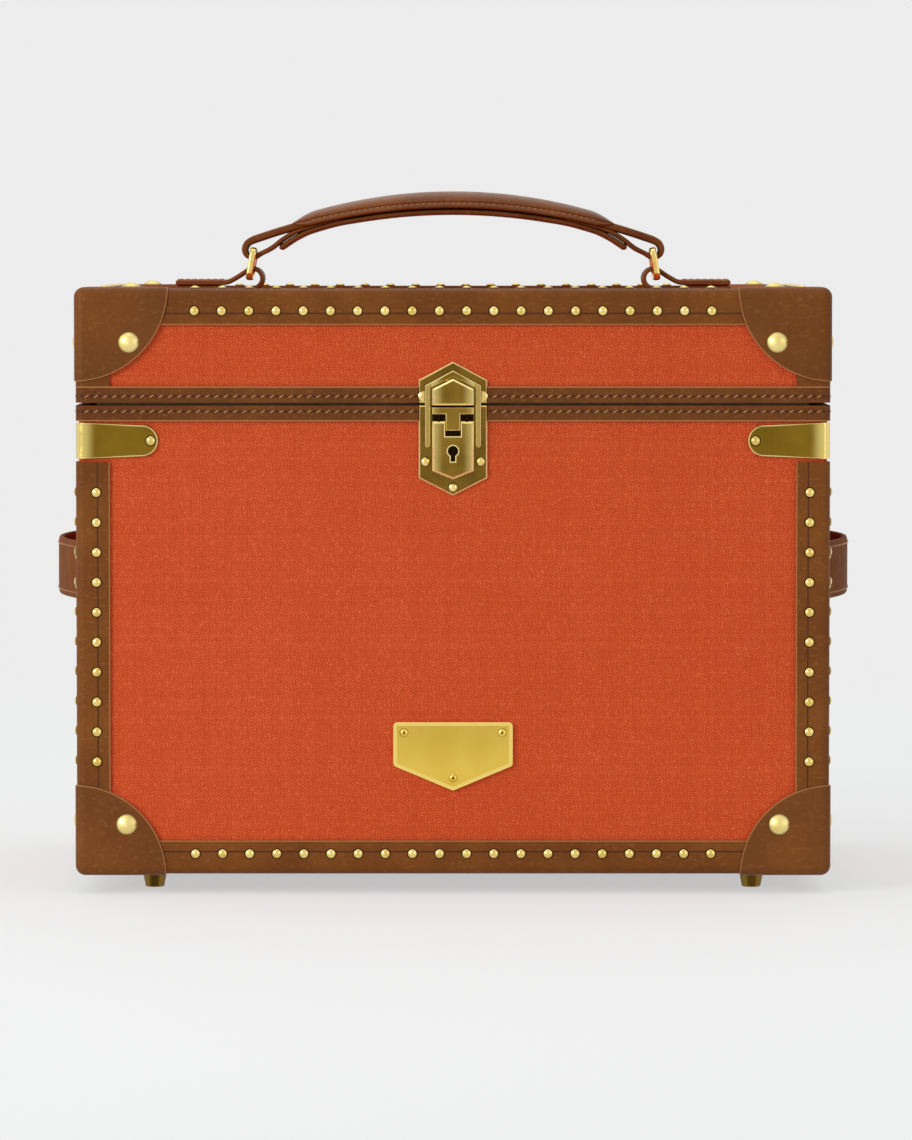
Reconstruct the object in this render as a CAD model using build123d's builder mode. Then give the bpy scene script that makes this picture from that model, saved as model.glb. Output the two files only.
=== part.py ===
# A small travelling trunk for jewellery: canvas over plywood, edged in studded leather, with a
# hinged lid, a case lock, a top handle on rings, two side handles, lift-out trays and a mirror.
# Millimetres, +Z up, the front faces -Y, and the origin is under the middle of the feet.

import os
from math import asin, atan2, cos, radians, sin, sqrt, tan

from build123d import *

os.makedirs("parts", exist_ok=True)

# Driving dimensions

# Plywood box
board_width = 324.0
board_depth = 226.0
board_thickness = 6.0
board_radius = 1.5
body_board_height = 201.0
lid_board_height = 45.9
seam_gap = 1.2

# Canvas and leather skins
canvas_thickness = 0.8
edging_thickness = 1.4
cap_thickness = 2.1
lid_cap_radius = 41.0
base_cap_radius = 39.8
cap_clearance = 0.1
lid_strip_width = 15.6
base_strip_width = 14.7
column_strip_width = 14.8
lid_binding_height = 7.0
body_binding_height = 6.8

# Dome studs, cap rivets and small rivets
stud_radius = 2.35
stud_rise = 1.3
shank_radius = 0.6
shank_clearance = 0.05
row_pitch = 11.83
row_end_inset = 51.8
lid_stud_inset = 9.6
base_stud_inset = 9.1
column_stud_inset = 9.0
column_pitch = 13.05
column_end_gap = 4.7
column_start = 49.3
cap_rivet_radius = 4.5
cap_rivet_rise = 1.9
cap_rivet_shank = 1.6
lid_rivet_inset = 24.0
base_rivet_inset = 22.6
small_rivet_radius = 2.2
small_rivet_rise = 1.1
low_rivet_rise = 0.55

# Brass corner clips below the rim
clip_thickness = 1.3
clip_length = 35.8
clip_corner_height = 15.7
clip_end_height = 13.0
clip_drop = 0.7
clip_rivet_inset = 32.7
clip_rivet_radius = 2.45
column_strip_gap = 1.4

# Turned feet, each held by one screw
foot_height = 10.0
foot_top_radius = 6.0
foot_bottom_radius = 4.1
foot_edge_radius = 0.6
foot_inset = 32.5
screw_radius = 1.3
screw_head_radius = 2.2
screw_head_recess = 3.0
screw_head_height = 1.6
screw_bite = 5.0

# Side handles: a stitched strap, bowed out from the wall
side_strap_height = 25.5
side_strap_thickness = 3.0
side_handle_middle = 131.0
side_handle_bow = 13.0
side_bow_half_length = 66.0
side_end_length = 16.0
side_rivet_radius = 1.75
side_rivet_rise = 1.2
side_rivet_half_spacing = 6.6

# Badge: a bare five-sided plate with a raised rim
badge_width = 52.0
badge_side = 19.0
badge_height = 29.9
badge_top_above_base = 67.3
badge_thickness = 1.2
badge_rim_width = 1.6
badge_rim_rise = 0.5
badge_corner_radius = 1.7
badge_rivet_radius = 1.9
badge_rivet_rise = 1.0
badge_rivet_inset = 4.6

# Lock: heights are from the seam, depths from the canvas
lock_half_width = 14.9
lock_peak = 18.5
lock_shoulder = 10.5
lock_knee = 32.2
lock_toe = 39.8
lock_plate_thickness = 1.6
lock_plate_bevel = 0.6
lock_clearance = 0.1
housing_half_width = 9.0
housing_top = 7.4
housing_knee = 29.0
housing_toe = 32.6
housing_front = 5.2
housing_bevel = 0.9
keyhole_drop = 20.3
keyhole_radius = 2.3
key_slot_half_width = 1.0
key_slot_length = 4.6
key_post_radius = 0.7
lock_rivet_upper = (12.8, 3.4)
lock_rivet_lower = (12.0, -25.0)
lock_rivet_toe_drop = 36.2

# Slide button of the lock: a T on two sprung prongs
button_travel = 2.2
button_top_drop = 1.3
button_bar_height = 3.0
button_back = 2.0
button_front = 4.6
stem_half_width = 3.15
stem_length = 7.1
stem_clearance = 0.3
button_bevel = 0.4
prong_place = 6.1
prong_radius = 0.9
prong_length = 6.2
prong_bore_radius = 1.25
spring_length = 6.9
spring_wire = 0.35
spring_turns = 7

# Hasp of the lock: a gabled frame and plaque on one plate
hasp_half_width = 12.1
hasp_peak = 14.6
hasp_shoulder = 8.1
hasp_leg_width = 2.2
hasp_leg_drop = 18.7
hasp_back = 2.3
hasp_front = 4.4
hasp_web_front = 3.1
plaque_half_width = 8.95
plaque_peak = 11.1
plaque_shoulder = 6.6
plaque_bottom = -0.4
plaque_front = 5.4
plaque_bevel = 0.8
hasp_bevel = 0.3
hasp_relief_height = 1.3
hasp_relief_depth = 0.8
hasp_axis_height = 10.65
hasp_axis_depth = 3.0
hasp_pin_radius = 0.5
hasp_pin_half_length = 6.2
hasp_running_clearance = 0.05
ear_near = 4.6
ear_far = 5.6
ear_radius = 0.9
ear_clearance = 0.15
ear_swing_room = 0.7
hasp_pocket_depth = 1.0

# Hinges on the back
hinge_place = 95.0
hinge_width = 46.0
hinge_leaf_height = 20.0
hinge_leaf_thickness = 1.4
knuckle_radius = 2.8
knuckle_count = 5
knuckle_gap = 0.15
knuckle_standoff = 1.0
hinge_pin_radius = 1.2
hinge_pin_clearance = 0.05
hinge_pin_overhang = 1.0
hinge_rivet_place = 14.0
hinge_rivet_rows = (6.5, 14.5)

# Top handle: tabs on the lid, rings through them, and a strap looped over the rings
tab_outer_end = 125.5
tab_leather = 2.1
tab_width = 23.6
tab_loop_place = 90.6
tab_loop_hole = 3.3
tab_rise_place = 102.5
ring_pivot_outset = 1.4
ring_pivot_lift = 0.4
ring_height = 12.5
ring_inner_width = 25.2
ring_bar_width = 2.4
ring_bar_depth = 3.0
ring_rounding = 0.9
ring_tilt = 9.0
strap_width = 24.0
strap_thickness = 3.5
strap_bow = 15.8
strap_over_bar = 2.85
loop_length = 14.7
loop_end_play = 1.6
loop_leather = 2.1
loop_floor_play = 1.95
loop_floor_slope = 0.48
return_length = 30.0
lower_strap_thickness = 2.85
lower_strap_reach = 9.8
tip_roundness = 0.4
grip_width = 28.0
grip_half_length = 72.5
grip_rise = 4.3
grip_shoulder_place = 60.0
grip_shoulder_drop = 8.1

# Lining, trays and mirror
panel_joint = 0.1
liner_thickness = 1.6
liner_lip_height = 3.5
liner_lip_clearance = 0.6
floor_pad_thickness = 3.0
divider_thickness = 3.0
divider_height = 100.0
divider_place = 51.0
fabric_clearance = 0.3
ledge_size = 6.0
tray_height = 32.0
tray_top_above_rim = 1.0
tray_wall = 4.0
tray_floor = 3.0
tray_clearance = 0.5
tray_seat_clearance = 0.2
tray_partition = 3.0
ring_roll_count = 6
ring_roll_height = 23.0
ring_roll_gap = 0.6
ring_roll_zone = 96.0
bracelet_zone = 62.0
pillow_length = 58.0
pillow_height = 26.0
lid_liner_thickness = 1.2
lid_wall_lining = 0.6
mirror_side_margin = 9.4
mirror_end_margin = 10.4
mirror_frame_thickness = 4.2
mirror_frame_border = 15.0
mirror_overlap = 3.0
mirror_thickness = 2.6
mirror_clearance = 0.2

# Heights and faces worked out from the dimensions above

base_canvas_z = foot_height
base_board_z = base_canvas_z + canvas_thickness
body_board_top = base_board_z + body_board_height
body_rim = body_board_top + edging_thickness
lid_rim = body_rim + seam_gap
lid_board_z = lid_rim + edging_thickness
lid_board_top = lid_board_z + lid_board_height
lid_top = lid_board_top + canvas_thickness
seam = (body_rim + lid_rim) / 2

edging_layer = canvas_thickness + edging_thickness
cap_layer = canvas_thickness + cap_thickness
half_width = board_width / 2
half_depth = board_depth / 2
inner_half_width = half_width - board_thickness
inner_half_depth = half_depth - board_thickness
base_edge_z = base_canvas_z - edging_thickness
lid_edge_z = lid_top + edging_thickness
base_strip_top = base_edge_z + base_strip_width
lid_strip_bottom = lid_edge_z - lid_strip_width
clip_top = body_rim - body_binding_height - clip_drop
clip_bottom = clip_top - clip_corner_height
column_top = clip_bottom - column_strip_gap
base_cap_corner = (half_width + cap_layer, half_depth + cap_layer, base_canvas_z - cap_thickness)
lid_cap_corner = (half_width + cap_layer, half_depth + cap_layer, lid_top + cap_thickness)


# Shared shapes and places

WALLS = {
    "front": ((0, -1, 0), (1, 0, 0)),
    "back": ((0, 1, 0), (-1, 0, 0)),
    "left": ((-1, 0, 0), (0, -1, 0)),
    "right": ((1, 0, 0), (0, 1, 0)),
}


def wall_plane(wall, layer):
    """The plane of one wall, a layer's thickness outside the boards: X along it, Y up, Z outward."""
    outward, along = WALLS[wall]
    distance = (half_width if wall in ("left", "right") else half_depth) + layer
    origin = tuple(distance * part for part in outward)
    return Plane(origin=origin, x_dir=along, z_dir=outward)


def wall_half(wall, layer=0.0):
    """Half the length of a wall's face at a layer."""
    return (half_depth if wall in ("left", "right") else half_width) + layer


def on_wall(wall, layer, along, height):
    """The place of a fastener that points straight out of a wall."""
    return wall_plane(wall, layer).location * Location((along, height, 0))


def box_between(low, high, mode=Mode.ADD):
    """A box from its lowest corner to its highest one."""
    size = [b - a for a, b in zip(low, high)]
    middle = [(a + b) / 2 for a, b in zip(low, high)]
    with Locations(tuple(middle)):
        return Box(*size, mode=mode)


def rounded_block(layer, bottom, top, rounded_end):
    """The trunk's outline at a layer outside the boards, its upright edges and one end rounded."""
    radius = board_radius + layer
    x = half_width + layer
    y = half_depth + layer
    with BuildPart() as block:
        box_between((-x, -y, bottom), (x, y, top))
        edges = block.edges().filter_by(Axis.Z)
        if rounded_end == "bottom":
            edges = edges + block.faces().sort_by(Axis.Z)[0].edges()
        if rounded_end == "top":
            edges = edges + block.faces().sort_by(Axis.Z)[-1].edges()
        fillet(edges, radius)
    return block.part


def body_block(layer, top=body_board_top):
    """The body's outline at a layer, open at the rim."""
    return rounded_block(layer, base_board_z - layer, top, "bottom")


def lid_block(layer, bottom=lid_board_z):
    """The lid's outline at a layer, open at the rim."""
    return rounded_block(layer, bottom, lid_board_top + layer, "top")


def corner_balls(corner, radius):
    """Four balls on the trunk's corners, which outline the caps."""
    x, y, z = corner
    with BuildPart() as balls:
        with Locations((x, y, z), (-x, y, z), (x, -y, z), (-x, -y, z)):
            Sphere(radius)
    return balls.part


def dome_rivet(radius, rise, shank, shank_length):
    """A domed head on its own plane, with a shank below it."""
    with BuildPart() as rivet:
        with BuildSketch(Plane.XZ):
            with BuildLine():
                TangentArc((0, rise), (radius, 0), tangent=(1, 0))
                Line((radius, 0), (shank, 0))
                Line((shank, 0), (shank, -shank_length))
                Line((shank, -shank_length), (0, -shank_length))
                Line((0, -shank_length), (0, rise))
            make_face()
        revolve(axis=Axis.Z)
    return rivet.part


def row(half_span, pitch):
    """Places evenly spaced over a span, as near to the pitch as fits."""
    gaps = round(2 * half_span / pitch)
    return [half_span * (2 * i / gaps - 1) for i in range(gaps + 1)]


def gable(half, shoulder, peak, foot):
    """Corners of a house outline: level foot, upright sides and a peak."""
    return [(-half, foot), (half, foot), (half, shoulder), (0, peak), (-half, shoulder)]


def write(part, name):
    """Name a finished piece and write its file."""
    part.label = name
    export_step(part, f"parts/{name}.step")


# Boards of the body: a base with four walls standing on it

base_board_top = base_board_z + board_thickness
outer_x = half_width + edging_layer
outer_y = half_depth + edging_layer
foot_places = GridLocations(2 * (outer_x - foot_inset), 2 * (outer_y - foot_inset), 2, 2)

with BuildPart() as base_board:
    add(rounded_block(0, base_board_z, base_board_top, "bottom"))
    with foot_places:
        with Locations((0, 0, base_board_z)):
            Cylinder(screw_radius, 2 * screw_bite, mode=Mode.SUBTRACT)
write(base_board.part, "base_board")


def long_wall(side, bottom, top):
    """A full-width front or back wall, its outer upright edges rounded."""
    with BuildPart() as wall:
        outer = side * half_depth
        inner = side * inner_half_depth
        box_between((-half_width, min(outer, inner), bottom), (half_width, max(outer, inner), top))
        corners = wall.edges().filter_by(Axis.Z).group_by(Axis.Y)[0 if side < 0 else -1]
        fillet(corners, board_radius)
    return wall.part


def side_walls(bottom, top):
    """Both end walls, which stand between the long ones."""
    with BuildPart() as walls:
        box_between((inner_half_width, -inner_half_depth, bottom), (half_width, inner_half_depth, top))
        mirror(about=Plane.YZ)
    return walls.part


write(long_wall(-1, base_board_top, body_board_top), "body_front_board")
write(long_wall(1, base_board_top, body_board_top), "body_back_board")
write(side_walls(base_board_top, body_board_top), "body_side_boards")

# Boards of the lid: a top on four walls

lid_walls_top = lid_board_top - board_thickness
write(rounded_block(0, lid_walls_top, lid_board_top, "top"), "lid_top_board")
write(long_wall(-1, lid_board_z, lid_walls_top), "lid_front_board")
write(long_wall(1, lid_board_z, lid_walls_top), "lid_back_board")
write(side_walls(lid_board_z, lid_walls_top), "lid_side_boards")

# Canvas glued over the boards

with BuildPart() as body_canvas:
    add(body_block(canvas_thickness))
    add(body_block(0), mode=Mode.SUBTRACT)
    with foot_places:
        with Locations((0, 0, base_canvas_z)):
            Cylinder(screw_radius, 4 * canvas_thickness, mode=Mode.SUBTRACT)
write(body_canvas.part, "body_canvas")

with BuildPart() as lid_canvas:
    add(lid_block(canvas_thickness))
    add(lid_block(0), mode=Mode.SUBTRACT)
write(lid_canvas.part, "lid_canvas")

# Places of the dome studs

column_foot = base_edge_z + column_start
column_count = int((column_top - column_end_gap - column_foot) / column_pitch) + 1

body_stud_places = []
lid_stud_places = []
lid_top_stud_places = []
for wall in WALLS:
    end = wall_half(wall, edging_layer) - row_end_inset
    column = wall_half(wall, edging_layer) - column_stud_inset
    for along in row(end, row_pitch):
        body_stud_places.append(on_wall(wall, edging_layer, along, base_edge_z + base_stud_inset))
        lid_stud_places.append(on_wall(wall, edging_layer, along, lid_edge_z - lid_stud_inset))
    for i in range(column_count):
        height = column_foot + i * column_pitch
        body_stud_places.append(on_wall(wall, edging_layer, -column, height))
        body_stud_places.append(on_wall(wall, edging_layer, column, height))
for along in row(half_width + edging_layer - row_end_inset, row_pitch):
    for side in (-1, 1):
        y = side * (half_depth + edging_layer - lid_stud_inset)
        lid_top_stud_places.append(Location((along, y, lid_edge_z)))
for along in row(half_depth + edging_layer - row_end_inset, row_pitch):
    for side in (-1, 1):
        x = side * (half_width + edging_layer - lid_stud_inset)
        lid_top_stud_places.append(Location((x, along, lid_edge_z)))
lid_stud_places = lid_stud_places + lid_top_stud_places

stud = dome_rivet(stud_radius, stud_rise, shank_radius, edging_thickness)
stud_hole = shank_radius + shank_clearance

with BuildPart() as body_studs:
    with Locations(*body_stud_places):
        add(stud)
write(body_studs.part, "body_studs")

with BuildPart() as lid_studs:
    with Locations(*lid_stud_places):
        add(stud)
write(lid_studs.part, "lid_studs")

# Leather edging: strips folded over the edges and up the corners, cut round the caps

with BuildPart() as body_edging:
    add(body_block(edging_layer, top=column_top))
    add(body_block(canvas_thickness), mode=Mode.SUBTRACT)
    window_x = outer_x - column_strip_width
    window_y = outer_y - column_strip_width
    box_between((-window_x, -outer_y, base_strip_top), (window_x, outer_y, column_top), Mode.SUBTRACT)
    box_between((-outer_x, -window_y, base_strip_top), (outer_x, window_y, column_top), Mode.SUBTRACT)
    floor_x = outer_x - base_strip_width
    floor_y = outer_y - base_strip_width
    box_between((-floor_x, -floor_y, 0), (floor_x, floor_y, base_canvas_z), Mode.SUBTRACT)
    add(corner_balls(base_cap_corner, base_cap_radius + cap_clearance), mode=Mode.SUBTRACT)
    with Locations(*body_stud_places):
        Cylinder(stud_hole, 3 * edging_thickness, mode=Mode.SUBTRACT)
write(body_edging.part, "body_edging")

lid_binding_top = lid_rim + lid_binding_height

with BuildPart() as lid_edging:
    add(lid_block(edging_layer, bottom=lid_binding_top))
    add(lid_block(canvas_thickness), mode=Mode.SUBTRACT)
    box_between((-window_x, -outer_y, lid_rim), (window_x, outer_y, lid_strip_bottom), Mode.SUBTRACT)
    box_between((-outer_x, -window_y, lid_rim), (outer_x, window_y, lid_strip_bottom), Mode.SUBTRACT)
    top_x = outer_x - lid_strip_width
    top_y = outer_y - lid_strip_width
    box_between((-top_x, -top_y, lid_top), (top_x, top_y, lid_edge_z), Mode.SUBTRACT)
    add(corner_balls(lid_cap_corner, lid_cap_radius + cap_clearance), mode=Mode.SUBTRACT)
    with Locations(*lid_stud_places):
        Cylinder(stud_hole, 3 * edging_thickness, mode=Mode.SUBTRACT)
write(lid_edging.part, "lid_edging")

# Leather caps on the eight corners, each with a large rivet on every face

cap_rivet = dome_rivet(cap_rivet_radius, cap_rivet_rise, cap_rivet_shank, cap_thickness)


def cap_rivet_places(corner, inset):
    """The rivets of four caps: one on each of the three faces that meet at a corner."""
    x, y, z = corner
    up = z > base_board_top
    rivet_z = z - inset if up else z + inset
    places = []
    for wall in WALLS:
        along = wall_half(wall, cap_layer) - inset
        places.append(on_wall(wall, cap_layer, along, rivet_z))
        places.append(on_wall(wall, cap_layer, -along, rivet_z))
    turn = 0 if up else 180
    for side_x in (-1, 1):
        for side_y in (-1, 1):
            places.append(Location((side_x * (x - inset), side_y * (y - inset), z), (turn, 0, 0)))
    return places


def corner_caps(block, inner, corner, radius, places):
    """Four caps: the skin between two outlines, within the corner balls, drilled for rivets."""
    with BuildPart() as caps:
        add(block)
        add(inner, mode=Mode.SUBTRACT)
        add(corner_balls(corner, radius), mode=Mode.INTERSECT)
        with Locations(*places):
            Cylinder(cap_rivet_shank + shank_clearance, 3 * cap_thickness, mode=Mode.SUBTRACT)
    return caps.part


lid_rivet_places = cap_rivet_places(lid_cap_corner, lid_rivet_inset)
base_rivet_places = cap_rivet_places(base_cap_corner, base_rivet_inset)

write(
    corner_caps(
        lid_block(cap_layer), lid_block(canvas_thickness), lid_cap_corner, lid_cap_radius, lid_rivet_places
    ),
    "lid_corner_caps",
)
write(
    corner_caps(
        body_block(cap_layer),
        body_block(canvas_thickness),
        base_cap_corner,
        base_cap_radius,
        base_rivet_places,
    ),
    "base_corner_caps",
)

with BuildPart() as lid_cap_rivets:
    with Locations(*lid_rivet_places):
        add(cap_rivet)
write(lid_cap_rivets.part, "lid_cap_rivets")

with BuildPart() as base_cap_rivets:
    with Locations(*base_rivet_places):
        add(cap_rivet)
write(base_cap_rivets.part, "base_cap_rivets")

# Rim bindings: leather folded over both rims, parted where the lock and the hinges lie


def rim_binding(fold_low, fold_high, wall_low, wall_high):
    """A ring of leather, L-shaped in section, that covers a rim and the canvas beside it."""
    canvas_y = half_depth + canvas_thickness
    low = min(fold_low, wall_low)
    high = max(fold_high, wall_high)
    with BuildPart() as binding:
        add(rounded_block(edging_layer, low, high, None))
        add(rounded_block(canvas_thickness, wall_low, wall_high, None), mode=Mode.SUBTRACT)
        box_between(
            (-inner_half_width, -inner_half_depth, low),
            (inner_half_width, inner_half_depth, high),
            Mode.SUBTRACT,
        )
        lock_x = lock_half_width + lock_clearance
        box_between((-lock_x, -outer_y, low), (lock_x, -canvas_y, high), Mode.SUBTRACT)
        hinge_x = hinge_width / 2 + lock_clearance
        for place in (-hinge_place, hinge_place):
            box_between((place - hinge_x, canvas_y, low), (place + hinge_x, outer_y, high), Mode.SUBTRACT)
    return binding.part


body_binding_bottom = body_rim - body_binding_height
write(rim_binding(body_board_top, body_rim, body_binding_bottom, body_board_top), "body_rim_binding")
write(rim_binding(lid_rim, lid_board_z, lid_board_z, lid_binding_top), "lid_rim_binding")

# Brass clips bent round the corners below the rim

clip_middle = (clip_top + clip_bottom) / 2
clip_places = []
for wall in WALLS:
    along = wall_half(wall, edging_layer) - clip_rivet_inset
    clip_places.append(on_wall(wall, canvas_thickness + clip_thickness, along, clip_middle))
    clip_places.append(on_wall(wall, canvas_thickness + clip_thickness, -along, clip_middle))


with BuildPart() as clip_legs:
    for wall in WALLS:
        reach = wall_half(wall, edging_layer)
        taper = reach - clip_rivet_inset
        round_end = reach - clip_length + clip_end_height / 2
        for side in (-1, 1):
            with BuildSketch(wall_plane(wall, canvas_thickness)):
                with BuildLine():
                    Polyline(
                        (side * reach, clip_top),
                        (side * taper, clip_middle + clip_end_height / 2),
                        (side * round_end, clip_middle + clip_end_height / 2),
                        (side * round_end, clip_middle - clip_end_height / 2),
                        (side * taper, clip_middle - clip_end_height / 2),
                        (side * reach, clip_bottom),
                        close=True,
                    )
                make_face()
                with Locations((side * round_end, clip_middle)):
                    Circle(clip_end_height / 2)
            extrude(amount=2 * clip_thickness, both=True)

with BuildPart() as corner_clips:
    add(rounded_block(canvas_thickness + clip_thickness, clip_bottom, clip_top, None))
    add(rounded_block(canvas_thickness, clip_bottom, clip_top, None), mode=Mode.SUBTRACT)
    add(clip_legs.part, mode=Mode.INTERSECT)
    with Locations(*clip_places):
        Cylinder(shank_radius + shank_clearance, 3 * clip_thickness, mode=Mode.SUBTRACT)
write(corner_clips.part, "corner_clips")

with BuildPart() as corner_clip_rivets:
    with Locations(*clip_places):
        add(dome_rivet(clip_rivet_radius, stud_rise, shank_radius, clip_thickness))
write(corner_clip_rivets.part, "corner_clip_rivets")

# Turned feet below the base, each with a counterbored screw

with BuildPart() as foot:
    with BuildSketch(Plane.XZ):
        with BuildLine():
            Polyline(
                (0, 0),
                (foot_bottom_radius, 0),
                (foot_top_radius, foot_height),
                (0, foot_height),
                close=True,
            )
        make_face()
    revolve(axis=Axis.Z)
    fillet(foot.edges().sort_by(Axis.Z)[0], foot_edge_radius)
    Cylinder(screw_radius + shank_clearance, 2 * foot_height, mode=Mode.SUBTRACT)
    Cylinder(screw_head_radius + shank_clearance, 2 * screw_head_recess, mode=Mode.SUBTRACT)

with BuildPart() as feet:
    with foot_places:
        add(foot.part)
write(feet.part, "feet")

with BuildPart() as foot_screws:
    with foot_places:
        with Locations((0, 0, screw_head_recess - screw_head_height / 2)):
            Cylinder(screw_head_radius, screw_head_height)
        with Locations((0, 0, (screw_head_recess + base_board_z + screw_bite) / 2)):
            Cylinder(screw_radius, base_board_z + screw_bite - screw_head_recess)
write(foot_screws.part, "foot_screws")

# Side handles, riveted through both ends of each strap

side_wall_x = half_width + canvas_thickness
side_middle_z = base_canvas_z - cap_thickness + side_handle_middle
side_outer_end = side_bow_half_length + side_end_length
side_rivet_y = side_bow_half_length + side_end_length / 2
side_rivet_places = [
    on_wall(wall, canvas_thickness + side_strap_thickness, end * side_rivet_y, side_middle_z + step)
    for wall in ("left", "right")
    for end in (-1, 1)
    for step in (-side_rivet_half_spacing, side_rivet_half_spacing)
]

with BuildPart() as side_handle_right:
    with BuildSketch(Plane.XY.offset(side_middle_z)):
        with BuildLine():
            face_x = side_wall_x + side_strap_thickness
            Line((side_wall_x, -side_outer_end), (face_x, -side_outer_end))
            Line((face_x, -side_outer_end), (face_x, -side_bow_half_length))
            ThreePointArc(
                (face_x, -side_bow_half_length),
                (face_x + side_handle_bow, 0),
                (face_x, side_bow_half_length),
            )
            Line((face_x, side_bow_half_length), (face_x, side_outer_end))
            Line((face_x, side_outer_end), (side_wall_x, side_outer_end))
            Line((side_wall_x, side_outer_end), (side_wall_x, side_bow_half_length))
            ThreePointArc(
                (side_wall_x, side_bow_half_length),
                (side_wall_x + side_handle_bow, 0),
                (side_wall_x, -side_bow_half_length),
            )
            Line((side_wall_x, -side_bow_half_length), (side_wall_x, -side_outer_end))
        make_face()
    extrude(amount=side_strap_height / 2, both=True)
    with Locations(*side_rivet_places[4:]):
        Cylinder(shank_radius + shank_clearance, 3 * side_strap_thickness, mode=Mode.SUBTRACT)
write(side_handle_right.part, "side_handle_right")
write(mirror(side_handle_right.part, about=Plane.YZ), "side_handle_left")

with BuildPart() as side_handle_rivets:
    with Locations(*side_rivet_places):
        add(dome_rivet(side_rivet_radius, side_rivet_rise, shank_radius, side_strap_thickness))
write(side_handle_rivets.part, "side_handle_rivets")

# Badge on the front

badge_top = base_canvas_z - cap_thickness + badge_top_above_base
front_canvas = wall_plane("front", canvas_thickness)
badge_points = [
    (-badge_width / 2, badge_top),
    (badge_width / 2, badge_top),
    (badge_width / 2, badge_top - badge_side),
    (0, badge_top - badge_height),
    (-badge_width / 2, badge_top - badge_side),
]
badge_rivet_z = badge_top - badge_rivet_inset
badge_toe_z = badge_top - badge_height + 1.2 * badge_rivet_inset
badge_rivet_places = [
    on_wall("front", canvas_thickness + badge_thickness, x, z)
    for x, z in (
        (-(badge_width / 2 - badge_rivet_inset), badge_rivet_z),
        (badge_width / 2 - badge_rivet_inset, badge_rivet_z),
        (0, badge_toe_z),
    )
]

with BuildPart() as badge_plate:
    with BuildSketch(front_canvas) as badge_face:
        Polygon(*badge_points, align=None)
        fillet(badge_face.vertices(), badge_corner_radius)
    extrude(amount=badge_thickness + badge_rim_rise)
    with BuildSketch(front_canvas.offset(badge_thickness)):
        add(badge_face.sketch_local)
        offset(amount=-badge_rim_width, mode=Mode.REPLACE)
    extrude(amount=2 * badge_rim_rise, mode=Mode.SUBTRACT)
    with Locations(*badge_rivet_places):
        Cylinder(shank_radius + shank_clearance, 3 * badge_thickness, mode=Mode.SUBTRACT)
write(badge_plate.part, "badge_plate")

with BuildPart() as badge_rivets:
    with Locations(*badge_rivet_places):
        add(dome_rivet(badge_rivet_radius, badge_rivet_rise, shank_radius, badge_thickness))
write(badge_rivets.part, "badge_rivets")

# Hinge and lock rivets share one size, but the two that lie beside the hasp are flatter

small_rivet = dome_rivet(small_rivet_radius, small_rivet_rise, shank_radius, hinge_leaf_thickness)
plate_rivet = dome_rivet(small_rivet_radius, small_rivet_rise, shank_radius, lock_plate_thickness)
low_rivet = dome_rivet(small_rivet_radius, low_rivet_rise, shank_radius, lock_plate_thickness)
small_hole = shank_radius + shank_clearance

lock_face_layer = canvas_thickness + lock_plate_thickness
lid_lock_rivet_places = [
    on_wall("front", lock_face_layer, side * lock_rivet_upper[0], seam + lock_rivet_upper[1])
    for side in (-1, 1)
]
body_lock_rivet_places = [
    on_wall("front", lock_face_layer, x, seam + z)
    for x, z in (
        (-lock_rivet_lower[0], lock_rivet_lower[1]),
        lock_rivet_lower,
        (0, -lock_rivet_toe_drop),
    )
]


def hinge_rivet_places(side):
    """Rivets of both leaves above the seam (side 1) or below it (side -1)."""
    return [
        on_wall("back", canvas_thickness + hinge_leaf_thickness, place + step, seam + side * rise)
        for place in (-hinge_place, hinge_place)
        for step in (-hinge_rivet_place, hinge_rivet_place)
        for rise in hinge_rivet_rows
    ]


with BuildPart() as body_small_rivets:
    with Locations(*body_lock_rivet_places):
        add(plate_rivet)
    with Locations(*hinge_rivet_places(-1)):
        add(small_rivet)
write(body_small_rivets.part, "body_small_rivets")

with BuildPart() as lid_small_rivets:
    with Locations(*lid_lock_rivet_places):
        add(low_rivet)
    with Locations(*hinge_rivet_places(1)):
        add(small_rivet)
write(lid_small_rivets.part, "lid_small_rivets")

# Lock plates, one on each side of the seam

hasp_axis_z = seam + hasp_axis_height
hasp_frame_points = gable(hasp_half_width, seam + hasp_shoulder, seam + hasp_peak, seam - hasp_leg_drop)
lip_pocket_points = gable(
    hasp_half_width + ear_clearance,
    seam + hasp_shoulder,
    seam + hasp_peak + ear_clearance,
    seam + hasp_shoulder - hasp_leg_width,
)

with BuildPart() as lock_body_plate:
    with BuildSketch(front_canvas):
        Polygon(*gable(lock_half_width, seam - lock_knee, seam - lock_toe, body_rim), align=None)
    extrude(amount=lock_plate_thickness)
    outer_face = lock_body_plate.faces().sort_by(Axis.Y)[0]
    chamfer(outer_face.edges(), lock_plate_bevel)
    with Locations(*body_lock_rivet_places):
        Cylinder(small_hole, 3 * lock_plate_thickness, mode=Mode.SUBTRACT)
write(lock_body_plate.part, "lock_body_plate")

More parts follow.
